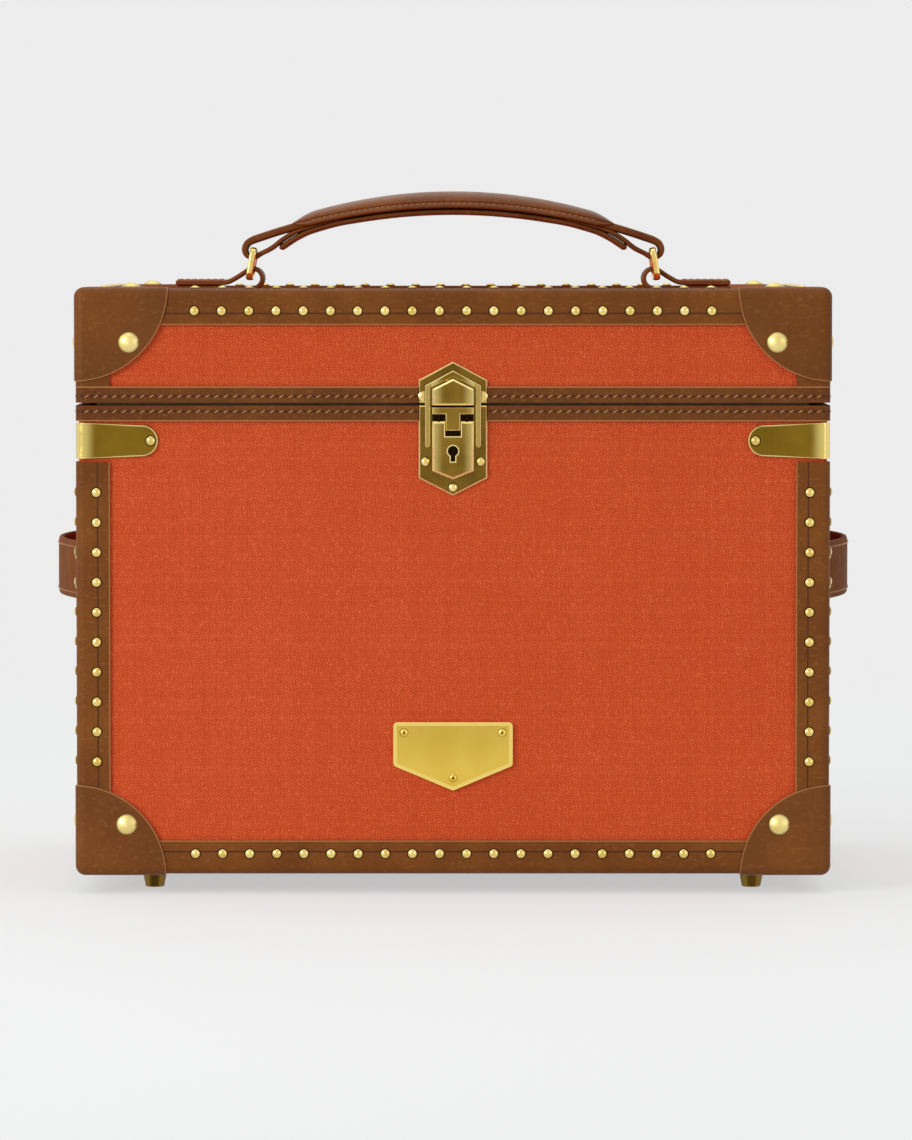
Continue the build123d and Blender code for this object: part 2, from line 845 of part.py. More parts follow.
with BuildPart() as lock_lid_plate:
    with BuildSketch(front_canvas):
        Polygon(*gable(lock_half_width, seam + lock_shoulder, seam + lock_peak, lid_rim), align=None)
    extrude(amount=lock_plate_thickness)
    outer_face = lock_lid_plate.faces().sort_by(Axis.Y)[0]
    chamfer(outer_face.edges(), lock_plate_bevel)
    with BuildSketch(front_canvas.offset(lock_plate_thickness)):
        Polygon(*lip_pocket_points, align=None)
    extrude(amount=-hasp_pocket_depth, mode=Mode.SUBTRACT)
    ear_root = lock_plate_thickness - hasp_pocket_depth
    for side in (-1, 1):
        middle = side * (ear_near + ear_far) / 2
        with BuildSketch(Plane.YZ.offset(middle)):
            with Locations((-(half_depth + canvas_thickness + hasp_axis_depth), hasp_axis_z)):
                Circle(ear_radius)
            ear_middle = (ear_root + hasp_axis_depth) / 2
            with Locations((-(half_depth + canvas_thickness + ear_middle), hasp_axis_z)):
                Rectangle(hasp_axis_depth - ear_root, 2 * ear_radius)
        extrude(amount=(ear_far - ear_near) / 2, both=True)
    with Locations(*lid_lock_rivet_places):
        Cylinder(small_hole, 3 * lock_plate_thickness, mode=Mode.SUBTRACT)
    pin_line = Location((0, -(half_depth + canvas_thickness + hasp_axis_depth), hasp_axis_z), (0, 90, 0))
    with Locations(pin_line):
        Cylinder(hasp_pin_radius, 2 * hasp_half_width, mode=Mode.SUBTRACT)
write(lock_lid_plate.part, "lock_lid_plate")

with BuildPart() as lock_hasp_pin:
    with Locations(pin_line):
        Cylinder(hasp_pin_radius, 2 * hasp_pin_half_length)
write(lock_hasp_pin.part, "lock_hasp_pin")

# Hasp: a gabled frame whose legs pass beside the housing, and a plaque, on one thin web

web_points = gable(
    hasp_half_width - hasp_leg_width / 2,
    seam + hasp_shoulder - hasp_leg_width / 2,
    seam + hasp_peak - hasp_leg_width,
    seam + plaque_bottom,
)
inner_points = gable(
    hasp_half_width - hasp_leg_width,
    seam + hasp_shoulder - hasp_leg_width / 2.5,
    seam + hasp_peak - 1.25 * hasp_leg_width,
    seam - hasp_leg_drop,
)
plaque_points = gable(
    plaque_half_width,
    seam + plaque_shoulder,
    seam + plaque_peak,
    seam + plaque_bottom,
)

with BuildPart() as lock_hasp:
    with BuildSketch(front_canvas.offset(hasp_back)):
        Polygon(*hasp_frame_points, align=None)
        Polygon(*inner_points, align=None, mode=Mode.SUBTRACT)
    extrude(amount=hasp_front - hasp_back)
    toes = lock_hasp.edges().filter_by(Axis.Y).group_by(Axis.Z)[0]
    fillet(toes, 0.48 * hasp_leg_width)
    frame_face = lock_hasp.faces().sort_by(Axis.Y)[0]
    chamfer(frame_face.edges(), hasp_bevel)
    with BuildSketch(front_canvas.offset(hasp_back)):
        Polygon(*web_points, align=None)
    extrude(amount=hasp_web_front - hasp_back)
    with BuildSketch(front_canvas.offset(hasp_back)):
        Polygon(*plaque_points, align=None)
    extrude(amount=plaque_front - hasp_back)
    plaque_edges = lock_hasp.faces().sort_by(Axis.Y)[0].edges()
    chamfer(plaque_edges, plaque_bevel)
    relief_back = -(half_depth + canvas_thickness + hasp_back)
    relief_front = relief_back - hasp_relief_depth
    relief_top = seam + hasp_peak
    relief_start = relief_top - hasp_relief_height
    with BuildSketch(Plane.YZ):
        Polygon(
            (relief_back, relief_start),
            (relief_front, relief_top),
            (relief_front, relief_top + hasp_relief_height),
            (relief_back + hasp_relief_depth, relief_top + hasp_relief_height),
            (relief_back + hasp_relief_depth, relief_start),
            align=None,
        )
    extrude(amount=hasp_half_width, both=True, mode=Mode.SUBTRACT)
    reach = ear_radius + ear_clearance
    ear_front = half_depth + canvas_thickness + hasp_axis_depth + reach
    for side in (-1, 1):
        low_x, high_x = sorted((side * (ear_near - ear_clearance), side * (ear_far + ear_clearance)))
        box_between(
            (low_x, -ear_front, hasp_axis_z - reach),
            (high_x, -(half_depth + canvas_thickness), hasp_axis_z + reach + ear_swing_room),
            Mode.SUBTRACT,
        )
    with Locations(pin_line):
        Cylinder(
            hasp_pin_radius + hasp_running_clearance,
            2 * (hasp_pin_half_length + hasp_running_clearance),
            mode=Mode.SUBTRACT,
        )
write(lock_hasp.part, "lock_hasp")

# Lock housing with its keyhole, the button's slot and two bores for the springs

housing_base = front_canvas.offset(lock_plate_thickness)
button_top = seam - button_top_drop
button_shoulder = button_top - button_bar_height
stem_bottom = button_shoulder - stem_length
slot_bottom = stem_bottom - button_travel - stem_clearance
prong_bottom = button_shoulder - prong_length
spring_bottom = prong_bottom - spring_length - panel_joint
prong_depth = (button_back + button_front) / 2
keyhole_z = seam - keyhole_drop

with BuildPart() as lock_housing:
    with BuildSketch(housing_base):
        Polygon(
            *gable(housing_half_width, seam - housing_knee, seam - housing_toe, seam - housing_top),
            align=None,
        )
    extrude(amount=housing_front - lock_plate_thickness)
    chamfer(lock_housing.faces().sort_by(Axis.Y)[0].edges(), housing_bevel)
    with BuildSketch(housing_base):
        slot_half = stem_half_width + stem_clearance
        with Locations((0, (slot_bottom + seam) / 2)):
            Rectangle(2 * slot_half, seam - slot_bottom)
        with Locations((0, keyhole_z)):
            Circle(keyhole_radius)
        with Locations((0, keyhole_z - key_slot_length / 2)):
            Rectangle(2 * key_slot_half_width, key_slot_length)
    extrude(amount=housing_front, mode=Mode.SUBTRACT)
    for side in (-1, 1):
        with Locations(
            (
                side * prong_place,
                -(half_depth + canvas_thickness + prong_depth),
                (spring_bottom + seam) / 2,
            )
        ):
            Cylinder(prong_bore_radius, seam - spring_bottom, mode=Mode.SUBTRACT)
    with BuildSketch(housing_base):
        with Locations((0, keyhole_z)):
            Circle(key_post_radius)
    extrude(amount=housing_front - lock_plate_thickness - housing_bevel)
write(lock_housing.part, "lock_housing")

# Slide button: it pulls down against the springs to let the hasp go

with BuildPart() as lock_button:
    with BuildSketch(front_canvas.offset(button_back)):
        with Locations((0, button_top - button_bar_height / 2)):
            Rectangle(2 * plaque_half_width, button_bar_height)
        with Locations((0, (button_top + stem_bottom) / 2)):
            Rectangle(2 * stem_half_width, button_top - stem_bottom)
    extrude(amount=button_front - button_back)
    button_face = lock_button.faces().sort_by(Axis.Y)[0]
    chamfer(button_face.edges(), button_bevel)
    for side in (-1, 1):
        with Locations(
            (
                side * prong_place,
                -(half_depth + canvas_thickness + prong_depth),
                (button_shoulder + prong_bottom) / 2,
            )
        ):
            Cylinder(prong_radius, button_shoulder - prong_bottom)
write(lock_button.part, "lock_button")

# Springs: flat wire folded to and fro, one below each prong

with BuildPart() as lock_springs:
    pitch = (spring_length - spring_wire) / spring_turns
    reach = prong_bore_radius - spring_wire
    for side in (-1, 1):
        with BuildSketch(front_canvas.offset(prong_depth)):
            for i in range(spring_turns + 1):
                with Locations((side * prong_place, spring_bottom + spring_wire / 2 + i * pitch)):
                    Rectangle(2 * reach, spring_wire)
            for i in range(spring_turns):
                edge = side * prong_place + (reach - spring_wire / 2) * (1 if i % 2 else -1)
                with Locations((edge, spring_bottom + spring_wire / 2 + (i + 0.5) * pitch)):
                    Rectangle(spring_wire, pitch)
        extrude(amount=spring_wire, both=True)
write(lock_springs.part, "lock_springs")

# Hinges: riveted leaves with interleaved knuckles on a pin

hinge_y = half_depth + canvas_thickness + knuckle_standoff + knuckle_radius
hinge_z = seam
leaf_y = half_depth + canvas_thickness
knuckle_length = hinge_width / knuckle_count


def hinge_leaves(side):
    """Both leaves above the seam (side 1, two knuckles each) or below it (side -1, three)."""
    own = [i for i in range(knuckle_count) if (i % 2 == 0) == (side < 0)]
    others = [i for i in range(knuckle_count) if i not in own]
    edge_z = lid_rim if side > 0 else body_rim
    far_z = seam + side * hinge_leaf_height
    web_z = seam + side * knuckle_radius
    with BuildPart() as leaves:
        for place in (-hinge_place, hinge_place):
            left = place - hinge_width / 2
            box_between(
                (left, leaf_y, min(edge_z, far_z)),
                (left + hinge_width, leaf_y + hinge_leaf_thickness, max(edge_z, far_z)),
            )
            for i in others:
                middle = left + (i + 0.5) * knuckle_length
                with Locations(Location((middle, hinge_y, hinge_z), (0, 90, 0))):
                    Cylinder(knuckle_radius + 2 * knuckle_gap, knuckle_length + 0.02, mode=Mode.SUBTRACT)
            for i in own:
                start = left + i * knuckle_length + (knuckle_gap if i else 0)
                end = left + (i + 1) * knuckle_length - (knuckle_gap if i < knuckle_count - 1 else 0)
                with Locations(Location(((start + end) / 2, hinge_y, hinge_z), (0, 90, 0))):
                    Cylinder(knuckle_radius, end - start)
                box_between((start, leaf_y, min(edge_z, web_z)), (end, hinge_y, max(edge_z, web_z)))
            with Locations(Location((place, hinge_y, hinge_z), (0, 90, 0))):
                Cylinder(hinge_pin_radius + hinge_pin_clearance, 2 * hinge_width, mode=Mode.SUBTRACT)
        with Locations(*hinge_rivet_places(side)):
            Cylinder(small_hole, 3 * hinge_leaf_thickness, mode=Mode.SUBTRACT)
    return leaves.part


write(hinge_leaves(-1), "hinge_body_leaves")
write(hinge_leaves(1), "hinge_lid_leaves")

with BuildPart() as hinge_pins:
    for place in (-hinge_place, hinge_place):
        with Locations(Location((place, hinge_y, hinge_z), (0, 90, 0))):
            Cylinder(hinge_pin_radius, hinge_width + 2 * hinge_pin_overhang)
    chamfer(hinge_pins.edges().filter_by(GeomType.CIRCLE), hinge_pin_radius / 4)
write(hinge_pins.part, "hinge_pins")

# Tabs on the lid: a folded leather strip that rises and loops round the ring's lower bar

loop_outer = tab_loop_hole + tab_leather
loop_z = lid_top + loop_outer
tab_top = lid_top + 2 * tab_leather
rise_run = tab_rise_place - tab_loop_place
rise_reach = sqrt(rise_run**2 + (loop_z - tab_top) ** 2)

tangent_angle = asin(loop_outer / rise_reach) + asin((loop_z - tab_top) / rise_reach)
slope = tan(tangent_angle)
wedge_x = tab_rise_place - (tab_leather / cos(tangent_angle) - tab_leather) / slope


def on_loop(radius, angle):
    """A point round the left tab's loop, the angle measured from +X."""
    return (-tab_loop_place + radius * cos(angle), loop_z + radius * sin(angle))


rise_touch = radians(90) + tangent_angle
loop_foot = radians(-90)

with BuildPart() as handle_tabs:
    with BuildSketch(Plane.XZ):
        with BuildLine():
            Polyline(
                (-tab_loop_place, lid_top),
                (-tab_outer_end, lid_top),
                (-tab_outer_end, tab_top),
                (-tab_rise_place, tab_top),
                on_loop(loop_outer, rise_touch),
            )
            ThreePointArc(
                on_loop(loop_outer, rise_touch),
                on_loop(loop_outer, (rise_touch + loop_foot) / 2),
                on_loop(loop_outer, loop_foot),
            )
        make_face()
        with BuildLine():
            Polyline(
                on_loop(tab_loop_hole, loop_foot),
                (-wedge_x, lid_top + tab_leather),
                on_loop(tab_loop_hole, rise_touch),
            )
            ThreePointArc(
                on_loop(tab_loop_hole, rise_touch),
                on_loop(tab_loop_hole, (rise_touch + loop_foot) / 2),
                on_loop(tab_loop_hole, loop_foot),
            )
        make_face(mode=Mode.SUBTRACT)
    extrude(amount=tab_width / 2, both=True)
    mirror(about=Plane.YZ)
write(handle_tabs.part, "handle_tabs")

# Rings: flat brass frames, each with its lower bar in a tab and its upper bar in the strap

pivot_x = tab_loop_place + ring_pivot_outset
pivot_z = loop_z + ring_pivot_lift
tilt = radians(ring_tilt)
bar_x = pivot_x - ring_height * sin(tilt)
bar_z = pivot_z + ring_height * cos(tilt)
ring_plane = Plane(origin=(-pivot_x, 0, pivot_z), x_dir=(0, 1, 0), z_dir=(cos(tilt), 0, -sin(tilt)))

with BuildPart() as handle_ring_left:
    with BuildSketch(ring_plane):
        with Locations((0, ring_height / 2)):
            RectangleRounded(
                ring_inner_width + 2 * ring_bar_width,
                ring_height + ring_bar_width,
                2 * ring_bar_width / 1.5,
            )
            RectangleRounded(
                ring_inner_width,
                ring_height - ring_bar_width,
                ring_bar_width / 1.5,
                mode=Mode.SUBTRACT,
            )
    extrude(amount=ring_bar_depth / 2, both=True)
    flat_faces = handle_ring_left.faces().filter_by(Axis((0, 0, 0), ring_plane.z_dir))
    fillet(flat_faces.edges(), ring_rounding)
write(handle_ring_left.part, "handle_ring_left")
write(mirror(handle_ring_left.part, about=Plane.YZ), "handle_ring_right")

# Strap: one length of leather, bowed upward, each end looped round a ring and tucked under

strap_end_z = bar_z + strap_over_bar
strap_radius = (strap_bow**2 + bar_x**2) / (2 * strap_bow)
strap_centre_z = strap_end_z + strap_bow - strap_radius
over_radius = strap_radius + strap_thickness


def under(x):
    """Height of the strap's lower face."""
    return strap_centre_z + sqrt(strap_radius**2 - x**2)


def over(x):
    """Height of the strap's upper face."""
    return strap_centre_z + sqrt(over_radius**2 - x**2)


apex_x = bar_x - loop_length
floor_x = bar_x - ring_bar_depth * 2.4
floor_start = (bar_x + 0.9, bar_z - loop_floor_play - 0.9 * loop_floor_slope)
floor_end = (floor_x, floor_start[1] + (floor_start[0] - floor_x) * loop_floor_slope)
loop_far_x = bar_x + ring_bar_depth / 2 + loop_end_play
outer_far_x = loop_far_x + loop_leather
return_x = bar_x - return_length
tuck_x = apex_x - 4.0
tuck_z = under(tuck_x) - 0.55 * loop_leather

return_bend = (floor_end[0] - 0.9, floor_end[1] - 0.85 * loop_leather)

strap_half = [
    (return_x, under(return_x)),
    (tuck_x, tuck_z),
    return_bend,
    (floor_start[0], floor_start[1] - loop_leather),
]

with BuildPart() as handle_strap:
    with BuildSketch(Plane.XZ):
        with BuildLine():
            ThreePointArc((-bar_x, over(bar_x)), (0, over(0)), (bar_x, over(bar_x)))
            ThreePointArc((-return_x, under(return_x)), (0, under(0)), (return_x, under(return_x)))
            for side in (-1, 1):
                Polyline(*[(side * x, z) for x, z in strap_half])
                ThreePointArc(
                    (side * bar_x, over(bar_x)),
                    (side * (outer_far_x - 0.9), (over(bar_x) + bar_z) / 2 + 1.0),
                    (side * outer_far_x, bar_z + 0.3),
                )
                ThreePointArc(
                    (side * outer_far_x, bar_z + 0.3),
                    (side * (outer_far_x - 1.4), (floor_start[1] - loop_leather + bar_z) / 2 - 0.6),
                    (side * floor_start[0], floor_start[1] - loop_leather),
                )
        make_face()
        for side in (-1, 1):
            with BuildLine():
                ThreePointArc(
                    (side * apex_x, under(apex_x)),
                    (side * (apex_x + bar_x) / 2, under((apex_x + bar_x) / 2)),
                    (side * bar_x, under(bar_x)),
                )
                ThreePointArc(
                    (side * bar_x, under(bar_x)),
                    (side * loop_far_x, bar_z + 0.4),
                    (side * floor_start[0], floor_start[1]),
                )
                Line((side * floor_start[0], floor_start[1]), (side * floor_end[0], floor_end[1]))
                Line((side * floor_end[0], floor_end[1]), (side * apex_x, under(apex_x)))
            make_face(mode=Mode.SUBTRACT)
    extrude(amount=strap_width / 2, both=True)
write(handle_strap.part, "handle_strap")

# Lower strap: it closes the underside and holds both tucked ends

tip_fall = atan2(tuck_z - return_bend[1], return_bend[0] - tuck_x)
tip_top = (tuck_x + lower_strap_reach * cos(tip_fall), tuck_z - lower_strap_reach * sin(tip_fall))


def across_tip(depth, reach):
    """A point by the right tip: so far below its upper face, and so far out along it."""
    x = tip_top[0] + reach * cos(tip_fall) - depth * sin(tip_fall)
    return (x, tip_top[1] - reach * sin(tip_fall) - depth * cos(tip_fall))


tip_middle = across_tip(lower_strap_thickness / 2, lower_strap_thickness * tip_roundness)
tip_bottom = across_tip(lower_strap_thickness, 0)
bend_x = bar_x / 2.2
bend_z = under(bend_x) - lower_strap_thickness * 1.05

with BuildPart() as handle_lower_strap:
    with BuildSketch(Plane.XZ):
        with BuildLine():
            ThreePointArc((-return_x, under(return_x)), (0, under(0)), (return_x, under(return_x)))
            ThreePointArc((-bend_x, bend_z), (0, under(0) - lower_strap_thickness), (bend_x, bend_z))
            for side in (-1, 1):
                Polyline(
                    (side * return_x, under(return_x)),
                    (side * tuck_x, tuck_z),
                    (side * tip_top[0], tip_top[1]),
                )
                ThreePointArc(
                    (side * tip_top[0], tip_top[1]),
                    (side * tip_middle[0], tip_middle[1]),
                    (side * tip_bottom[0], tip_bottom[1]),
                )
                ThreePointArc(
                    (side * tip_bottom[0], tip_bottom[1]),
                    (
                        side * (tip_bottom[0] + bend_x) / 2,
                        (tip_bottom[1] + bend_z) / 2 + 0.9,
                    ),
                    (side * bend_x, bend_z),
                )
        make_face()
    extrude(amount=strap_width / 2, both=True)
write(handle_lower_strap.part, "handle_lower_strap")

# Padded grip sewn over the middle of the strap

grip_top = over(0) + grip_rise
grip_shoulder_z = grip_top - grip_shoulder_drop
grip_end_middle = (grip_half_length + grip_shoulder_place) / 2

with BuildPart() as handle_grip:
    with BuildSketch(Plane.XZ):
        with BuildLine():
            ThreePointArc(
                (-grip_half_length, over(grip_half_length)),
                (0, over(0)),
                (grip_half_length, over(grip_half_length)),
            )
            ThreePointArc(
                (-grip_shoulder_place, grip_shoulder_z),
                (0, grip_top),
                (grip_shoulder_place, grip_shoulder_z),
            )
            for side in (-1, 1):
                ThreePointArc(
                    (side * grip_shoulder_place, grip_shoulder_z),
                    (
                        side * grip_end_middle,
                        (grip_shoulder_z + over(grip_half_length)) / 2 + 0.5,
                    ),
                    (side * grip_half_length, over(grip_half_length)),
                )
        make_face()
    extrude(amount=grip_width / 2, both=True)
write(handle_grip.part, "handle_grip")

# Lining of the body: four covered panels, which stand a little above the rim

liner_x = inner_half_width - liner_thickness
liner_y = inner_half_depth - liner_thickness
liner_top = body_rim + liner_lip_height

with BuildPart() as body_liner:
    for side in (-1, 1):
        lip_y = inner_half_depth - liner_lip_clearance
        lip_x = inner_half_width - liner_lip_clearance
        low, high = sorted((side * liner_y, side * inner_half_depth))
        box_between((-inner_half_width, low, base_board_top), (inner_half_width, high, body_rim))
        low, high = sorted((side * liner_y, side * lip_y))
        box_between((-lip_x, low, body_rim), (lip_x, high, liner_top))
        low, high = sorted((side * liner_x, side * inner_half_width))
        end_y = liner_y - panel_joint
        box_between((low, -end_y, base_board_top), (high, end_y, body_rim))
        low, high = sorted((side * liner_x, side * lip_x))
        box_between((low, -end_y, body_rim), (high, end_y, liner_top))
write(body_liner.part, "body_liner")

with BuildPart() as well_floor_pad:
    pad_x = liner_x - fabric_clearance
    pad_y = liner_y - fabric_clearance
    box_between(
        (-pad_x, -pad_y, base_board_top),
        (pad_x, pad_y, base_board_top + floor_pad_thickness),
    )
write(well_floor_pad.part, "well_floor_pad")

# Dividers of the deep well: one along it and four across

divider_bottom = base_board_top + floor_pad_thickness
divider_top = divider_bottom + divider_height
divider_half = divider_thickness / 2

with BuildPart() as well_dividers:
    box_between(
        (-(liner_x - fabric_clearance), -divider_half, divider_bottom),
        (liner_x - fabric_clearance, divider_half, divider_top),
    )
    for place in (-divider_place, divider_place):
        for side in (-1, 1):
            low, high = sorted((side * (divider_half + panel_joint), side * (liner_y - fabric_clearance)))
            box_between(
                (place - divider_half, low, divider_bottom),
                (place + divider_half, high, divider_top),
            )
write(well_dividers.part, "well_dividers")

# Ledges that carry the trays

tray_top = body_rim + tray_top_above_rim
tray_bottom = tray_top - tray_height
ledge_top = tray_bottom - tray_seat_clearance

with BuildPart() as tray_ledges:
    for side in (-1, 1):
        low, high = sorted((side * (liner_y - ledge_size), side * liner_y))
        box_between((-liner_x, low, ledge_top - ledge_size), (liner_x, high, ledge_top))
        low, high = sorted((side * (liner_x - ledge_size), side * liner_x))
        end_y = liner_y - ledge_size - panel_joint
        box_between((low, -end_y, ledge_top - ledge_size), (high, end_y, ledge_top))
write(tray_ledges.part, "tray_ledges")

# Trays: a floor between four walls, with partitions standing on the floor

tray_near_x = tray_clearance
tray_far_x = liner_x - tray_clearance
tray_y = liner_y - tray_clearance
room_near_x = tray_near_x + tray_wall
room_far_x = tray_far_x - tray_wall
room_y = tray_y - tray_wall
floor_z = tray_bottom + tray_floor
partition_top = tray_top - 2 * tray_clearance


def tray_shell(side):
    """Four walls and the floor of the tray on one side of the middle."""
    near, far = sorted((side * tray_near_x, side * tray_far_x))
    inner_near, inner_far = sorted((side * room_near_x, side * room_far_x))
    end_y = room_y - panel_joint
    box_between((near, -tray_y, tray_bottom), (far, -room_y, tray_top))
    box_between((near, room_y, tray_bottom), (far, tray_y, tray_top))
    box_between((near, -end_y, tray_bottom), (inner_near, end_y, tray_top))
    box_between((inner_far, -end_y, tray_bottom), (far, end_y, tray_top))
    box_between(
        (inner_near + panel_joint, -end_y, tray_bottom),
        (inner_far - panel_joint, end_y, floor_z),
    )


rolls_back_y = -room_y + ring_roll_zone
bracelet_front_y = room_y - bracelet_zone

with BuildPart() as tray_left:
    tray_shell(-1)
    box_between(
        (-room_far_x + panel_joint, rolls_back_y, floor_z + panel_joint),
        (-room_near_x - panel_joint, rolls_back_y + tray_partition, partition_top),
    )
    room_length = room_far_x - room_near_x
    for i in (1, 2):
        x = -room_far_x + i * room_length / 3
        box_between(
            (x - tray_partition / 2, rolls_back_y + tray_partition + panel_joint, floor_z + panel_joint),
            (x + tray_partition / 2, room_y - panel_joint, partition_top),
        )
write(tray_left.part, "tray_left")

with BuildPart() as tray_right:
    tray_shell(1)
    box_between(
        (room_near_x + panel_joint, bracelet_front_y - tray_partition, floor_z + panel_joint),
        (room_far_x - panel_joint, bracelet_front_y, partition_top),
    )
    middle_x = (room_near_x + room_far_x) / 2
    middle_y = (bracelet_front_y - tray_partition - room_y) / 2
    post_near_x = middle_x - tray_partition / 2
    post_far_x = middle_x + tray_partition / 2
    box_between(
        (post_near_x, -room_y + panel_joint, floor_z + panel_joint),
        (post_far_x, bracelet_front_y - tray_partition - panel_joint, partition_top),
    )
    for start, end in ((room_near_x, post_near_x), (post_far_x, room_far_x)):
        box_between(
            (start + panel_joint, middle_y - tray_partition / 2, floor_z + panel_joint),
            (end - panel_joint, middle_y + tray_partition / 2, partition_top),
        )
write(tray_right.part, "tray_right")

# Padded rolls for rings in the left tray, and two pillows for watches in the right one

with BuildPart() as ring_rolls:
    pitch = ring_roll_zone / ring_roll_count
    thickness = pitch - ring_roll_gap
    with BuildSketch(Plane.YZ.offset(-room_far_x + fabric_clearance)):
        for i in range(ring_roll_count):
            y = -room_y + (i + 0.5) * pitch
            with Locations((y, floor_z + (ring_roll_height - thickness / 2) / 2)):
                Rectangle(thickness, ring_roll_height - thickness / 2)
            with Locations((y, floor_z + ring_roll_height - thickness / 2)):
                Circle(thickness / 2)
    extrude(amount=room_length - 2 * fabric_clearance)
write(ring_rolls.part, "ring_rolls")

with BuildPart() as watch_pillows:
    pillow_width = bracelet_zone - 2 * fabric_clearance - 4.0
    for step in (-1, 1):
        with BuildSketch(Plane.YZ.offset(middle_x + step * room_length / 4)):
            with Locations(((bracelet_front_y + room_y) / 2, floor_z + pillow_height / 2)):
                RectangleRounded(pillow_width, pillow_height, 0.44 * pillow_height)
        extrude(amount=pillow_length / 2, both=True)
write(watch_pillows.part, "watch_pillows")

# Lining of the lid, and a framed mirror under its top

lid_lining_bottom = lid_walls_top - lid_liner_thickness
lid_lining_edge = liner_top + liner_lip_clearance
lid_wall_top = lid_lining_bottom - panel_joint
lid_wall_y = inner_half_depth - lid_wall_lining
lid_wall_x = inner_half_width - lid_wall_lining

with BuildPart() as lid_liner:
    box_between(
        (-inner_half_width, -inner_half_depth, lid_lining_bottom),
        (inner_half_width, inner_half_depth, lid_walls_top),
    )
    for side in (-1, 1):
        low, high = sorted((side * lid_wall_y, side * inner_half_depth))
        box_between((-inner_half_width, low, lid_lining_edge), (inner_half_width, high, lid_wall_top))
        low, high = sorted((side * lid_wall_x, side * inner_half_width))
        end_y = lid_wall_y - panel_joint
        box_between((low, -end_y, lid_lining_edge), (high, end_y, lid_wall_top))
write(lid_liner.part, "lid_liner")

frame_bottom = lid_lining_bottom - mirror_frame_thickness
mirror_frame_width = 2 * (lid_wall_x - mirror_side_margin)
mirror_frame_depth = 2 * (lid_wall_y - mirror_end_margin)
window_width = mirror_frame_width - 2 * mirror_frame_border
window_depth = mirror_frame_depth - 2 * mirror_frame_border

with BuildPart() as mirror_frame:
    with BuildSketch(Plane.XY.offset(frame_bottom)):
        RectangleRounded(mirror_frame_width, mirror_frame_depth, mirror_overlap)
        Rectangle(window_width, window_depth, mode=Mode.SUBTRACT)
    extrude(amount=mirror_frame_thickness)
    with BuildSketch(Plane.XY.offset(lid_lining_bottom)):
        Rectangle(window_width + 2 * mirror_overlap, window_depth + 2 * mirror_overlap)
    extrude(amount=-(mirror_thickness + mirror_clearance), mode=Mode.SUBTRACT)
write(mirror_frame.part, "mirror_frame")

with BuildPart() as mirror_glass:
    with BuildSketch(Plane.XY.offset(lid_lining_bottom - mirror_thickness)):
        Rectangle(
            window_width + 2 * (mirror_overlap - mirror_clearance),
            window_depth + 2 * (mirror_overlap - mirror_clearance),
        )
    extrude(amount=mirror_thickness)
write(mirror_glass.part, "mirror_glass")
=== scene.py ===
# A small travelling trunk for jewellery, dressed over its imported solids: canvas, studded leather,
# brass and a lined inside. Metres, +Z up, the front faces -Y. Small sizes are written as numbers
# times mm, and places come from the solids.

from math import atan2, cos, pi, radians, sin

import bmesh
import bpy
import numpy as np
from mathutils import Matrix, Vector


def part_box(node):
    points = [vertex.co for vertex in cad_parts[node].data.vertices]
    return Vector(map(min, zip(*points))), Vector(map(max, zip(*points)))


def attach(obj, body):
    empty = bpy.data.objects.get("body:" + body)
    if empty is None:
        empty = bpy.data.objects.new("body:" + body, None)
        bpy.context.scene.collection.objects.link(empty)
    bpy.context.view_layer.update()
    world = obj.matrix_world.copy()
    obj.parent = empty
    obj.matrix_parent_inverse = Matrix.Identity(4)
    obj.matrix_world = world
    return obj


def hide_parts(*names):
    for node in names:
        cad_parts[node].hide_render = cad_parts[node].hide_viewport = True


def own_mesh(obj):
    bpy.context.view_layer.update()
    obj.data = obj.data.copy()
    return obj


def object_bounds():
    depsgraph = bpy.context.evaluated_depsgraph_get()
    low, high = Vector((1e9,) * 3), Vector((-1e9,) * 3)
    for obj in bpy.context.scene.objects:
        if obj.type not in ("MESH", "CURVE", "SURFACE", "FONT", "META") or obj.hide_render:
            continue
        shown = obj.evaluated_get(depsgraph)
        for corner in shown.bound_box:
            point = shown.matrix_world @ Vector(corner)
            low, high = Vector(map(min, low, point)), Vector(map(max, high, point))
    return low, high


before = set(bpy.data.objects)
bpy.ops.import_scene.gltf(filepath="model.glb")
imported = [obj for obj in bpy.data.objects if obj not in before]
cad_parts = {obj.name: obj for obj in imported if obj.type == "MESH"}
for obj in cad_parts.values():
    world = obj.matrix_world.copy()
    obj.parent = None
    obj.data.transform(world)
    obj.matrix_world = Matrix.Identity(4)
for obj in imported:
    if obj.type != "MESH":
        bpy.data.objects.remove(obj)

mm = 0.001
solid_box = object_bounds()


# The boards: five of birch plywood make the body and five the lid, glued and pinned. They are
# covered outside and lined inside, so bare wood shows only in a section.


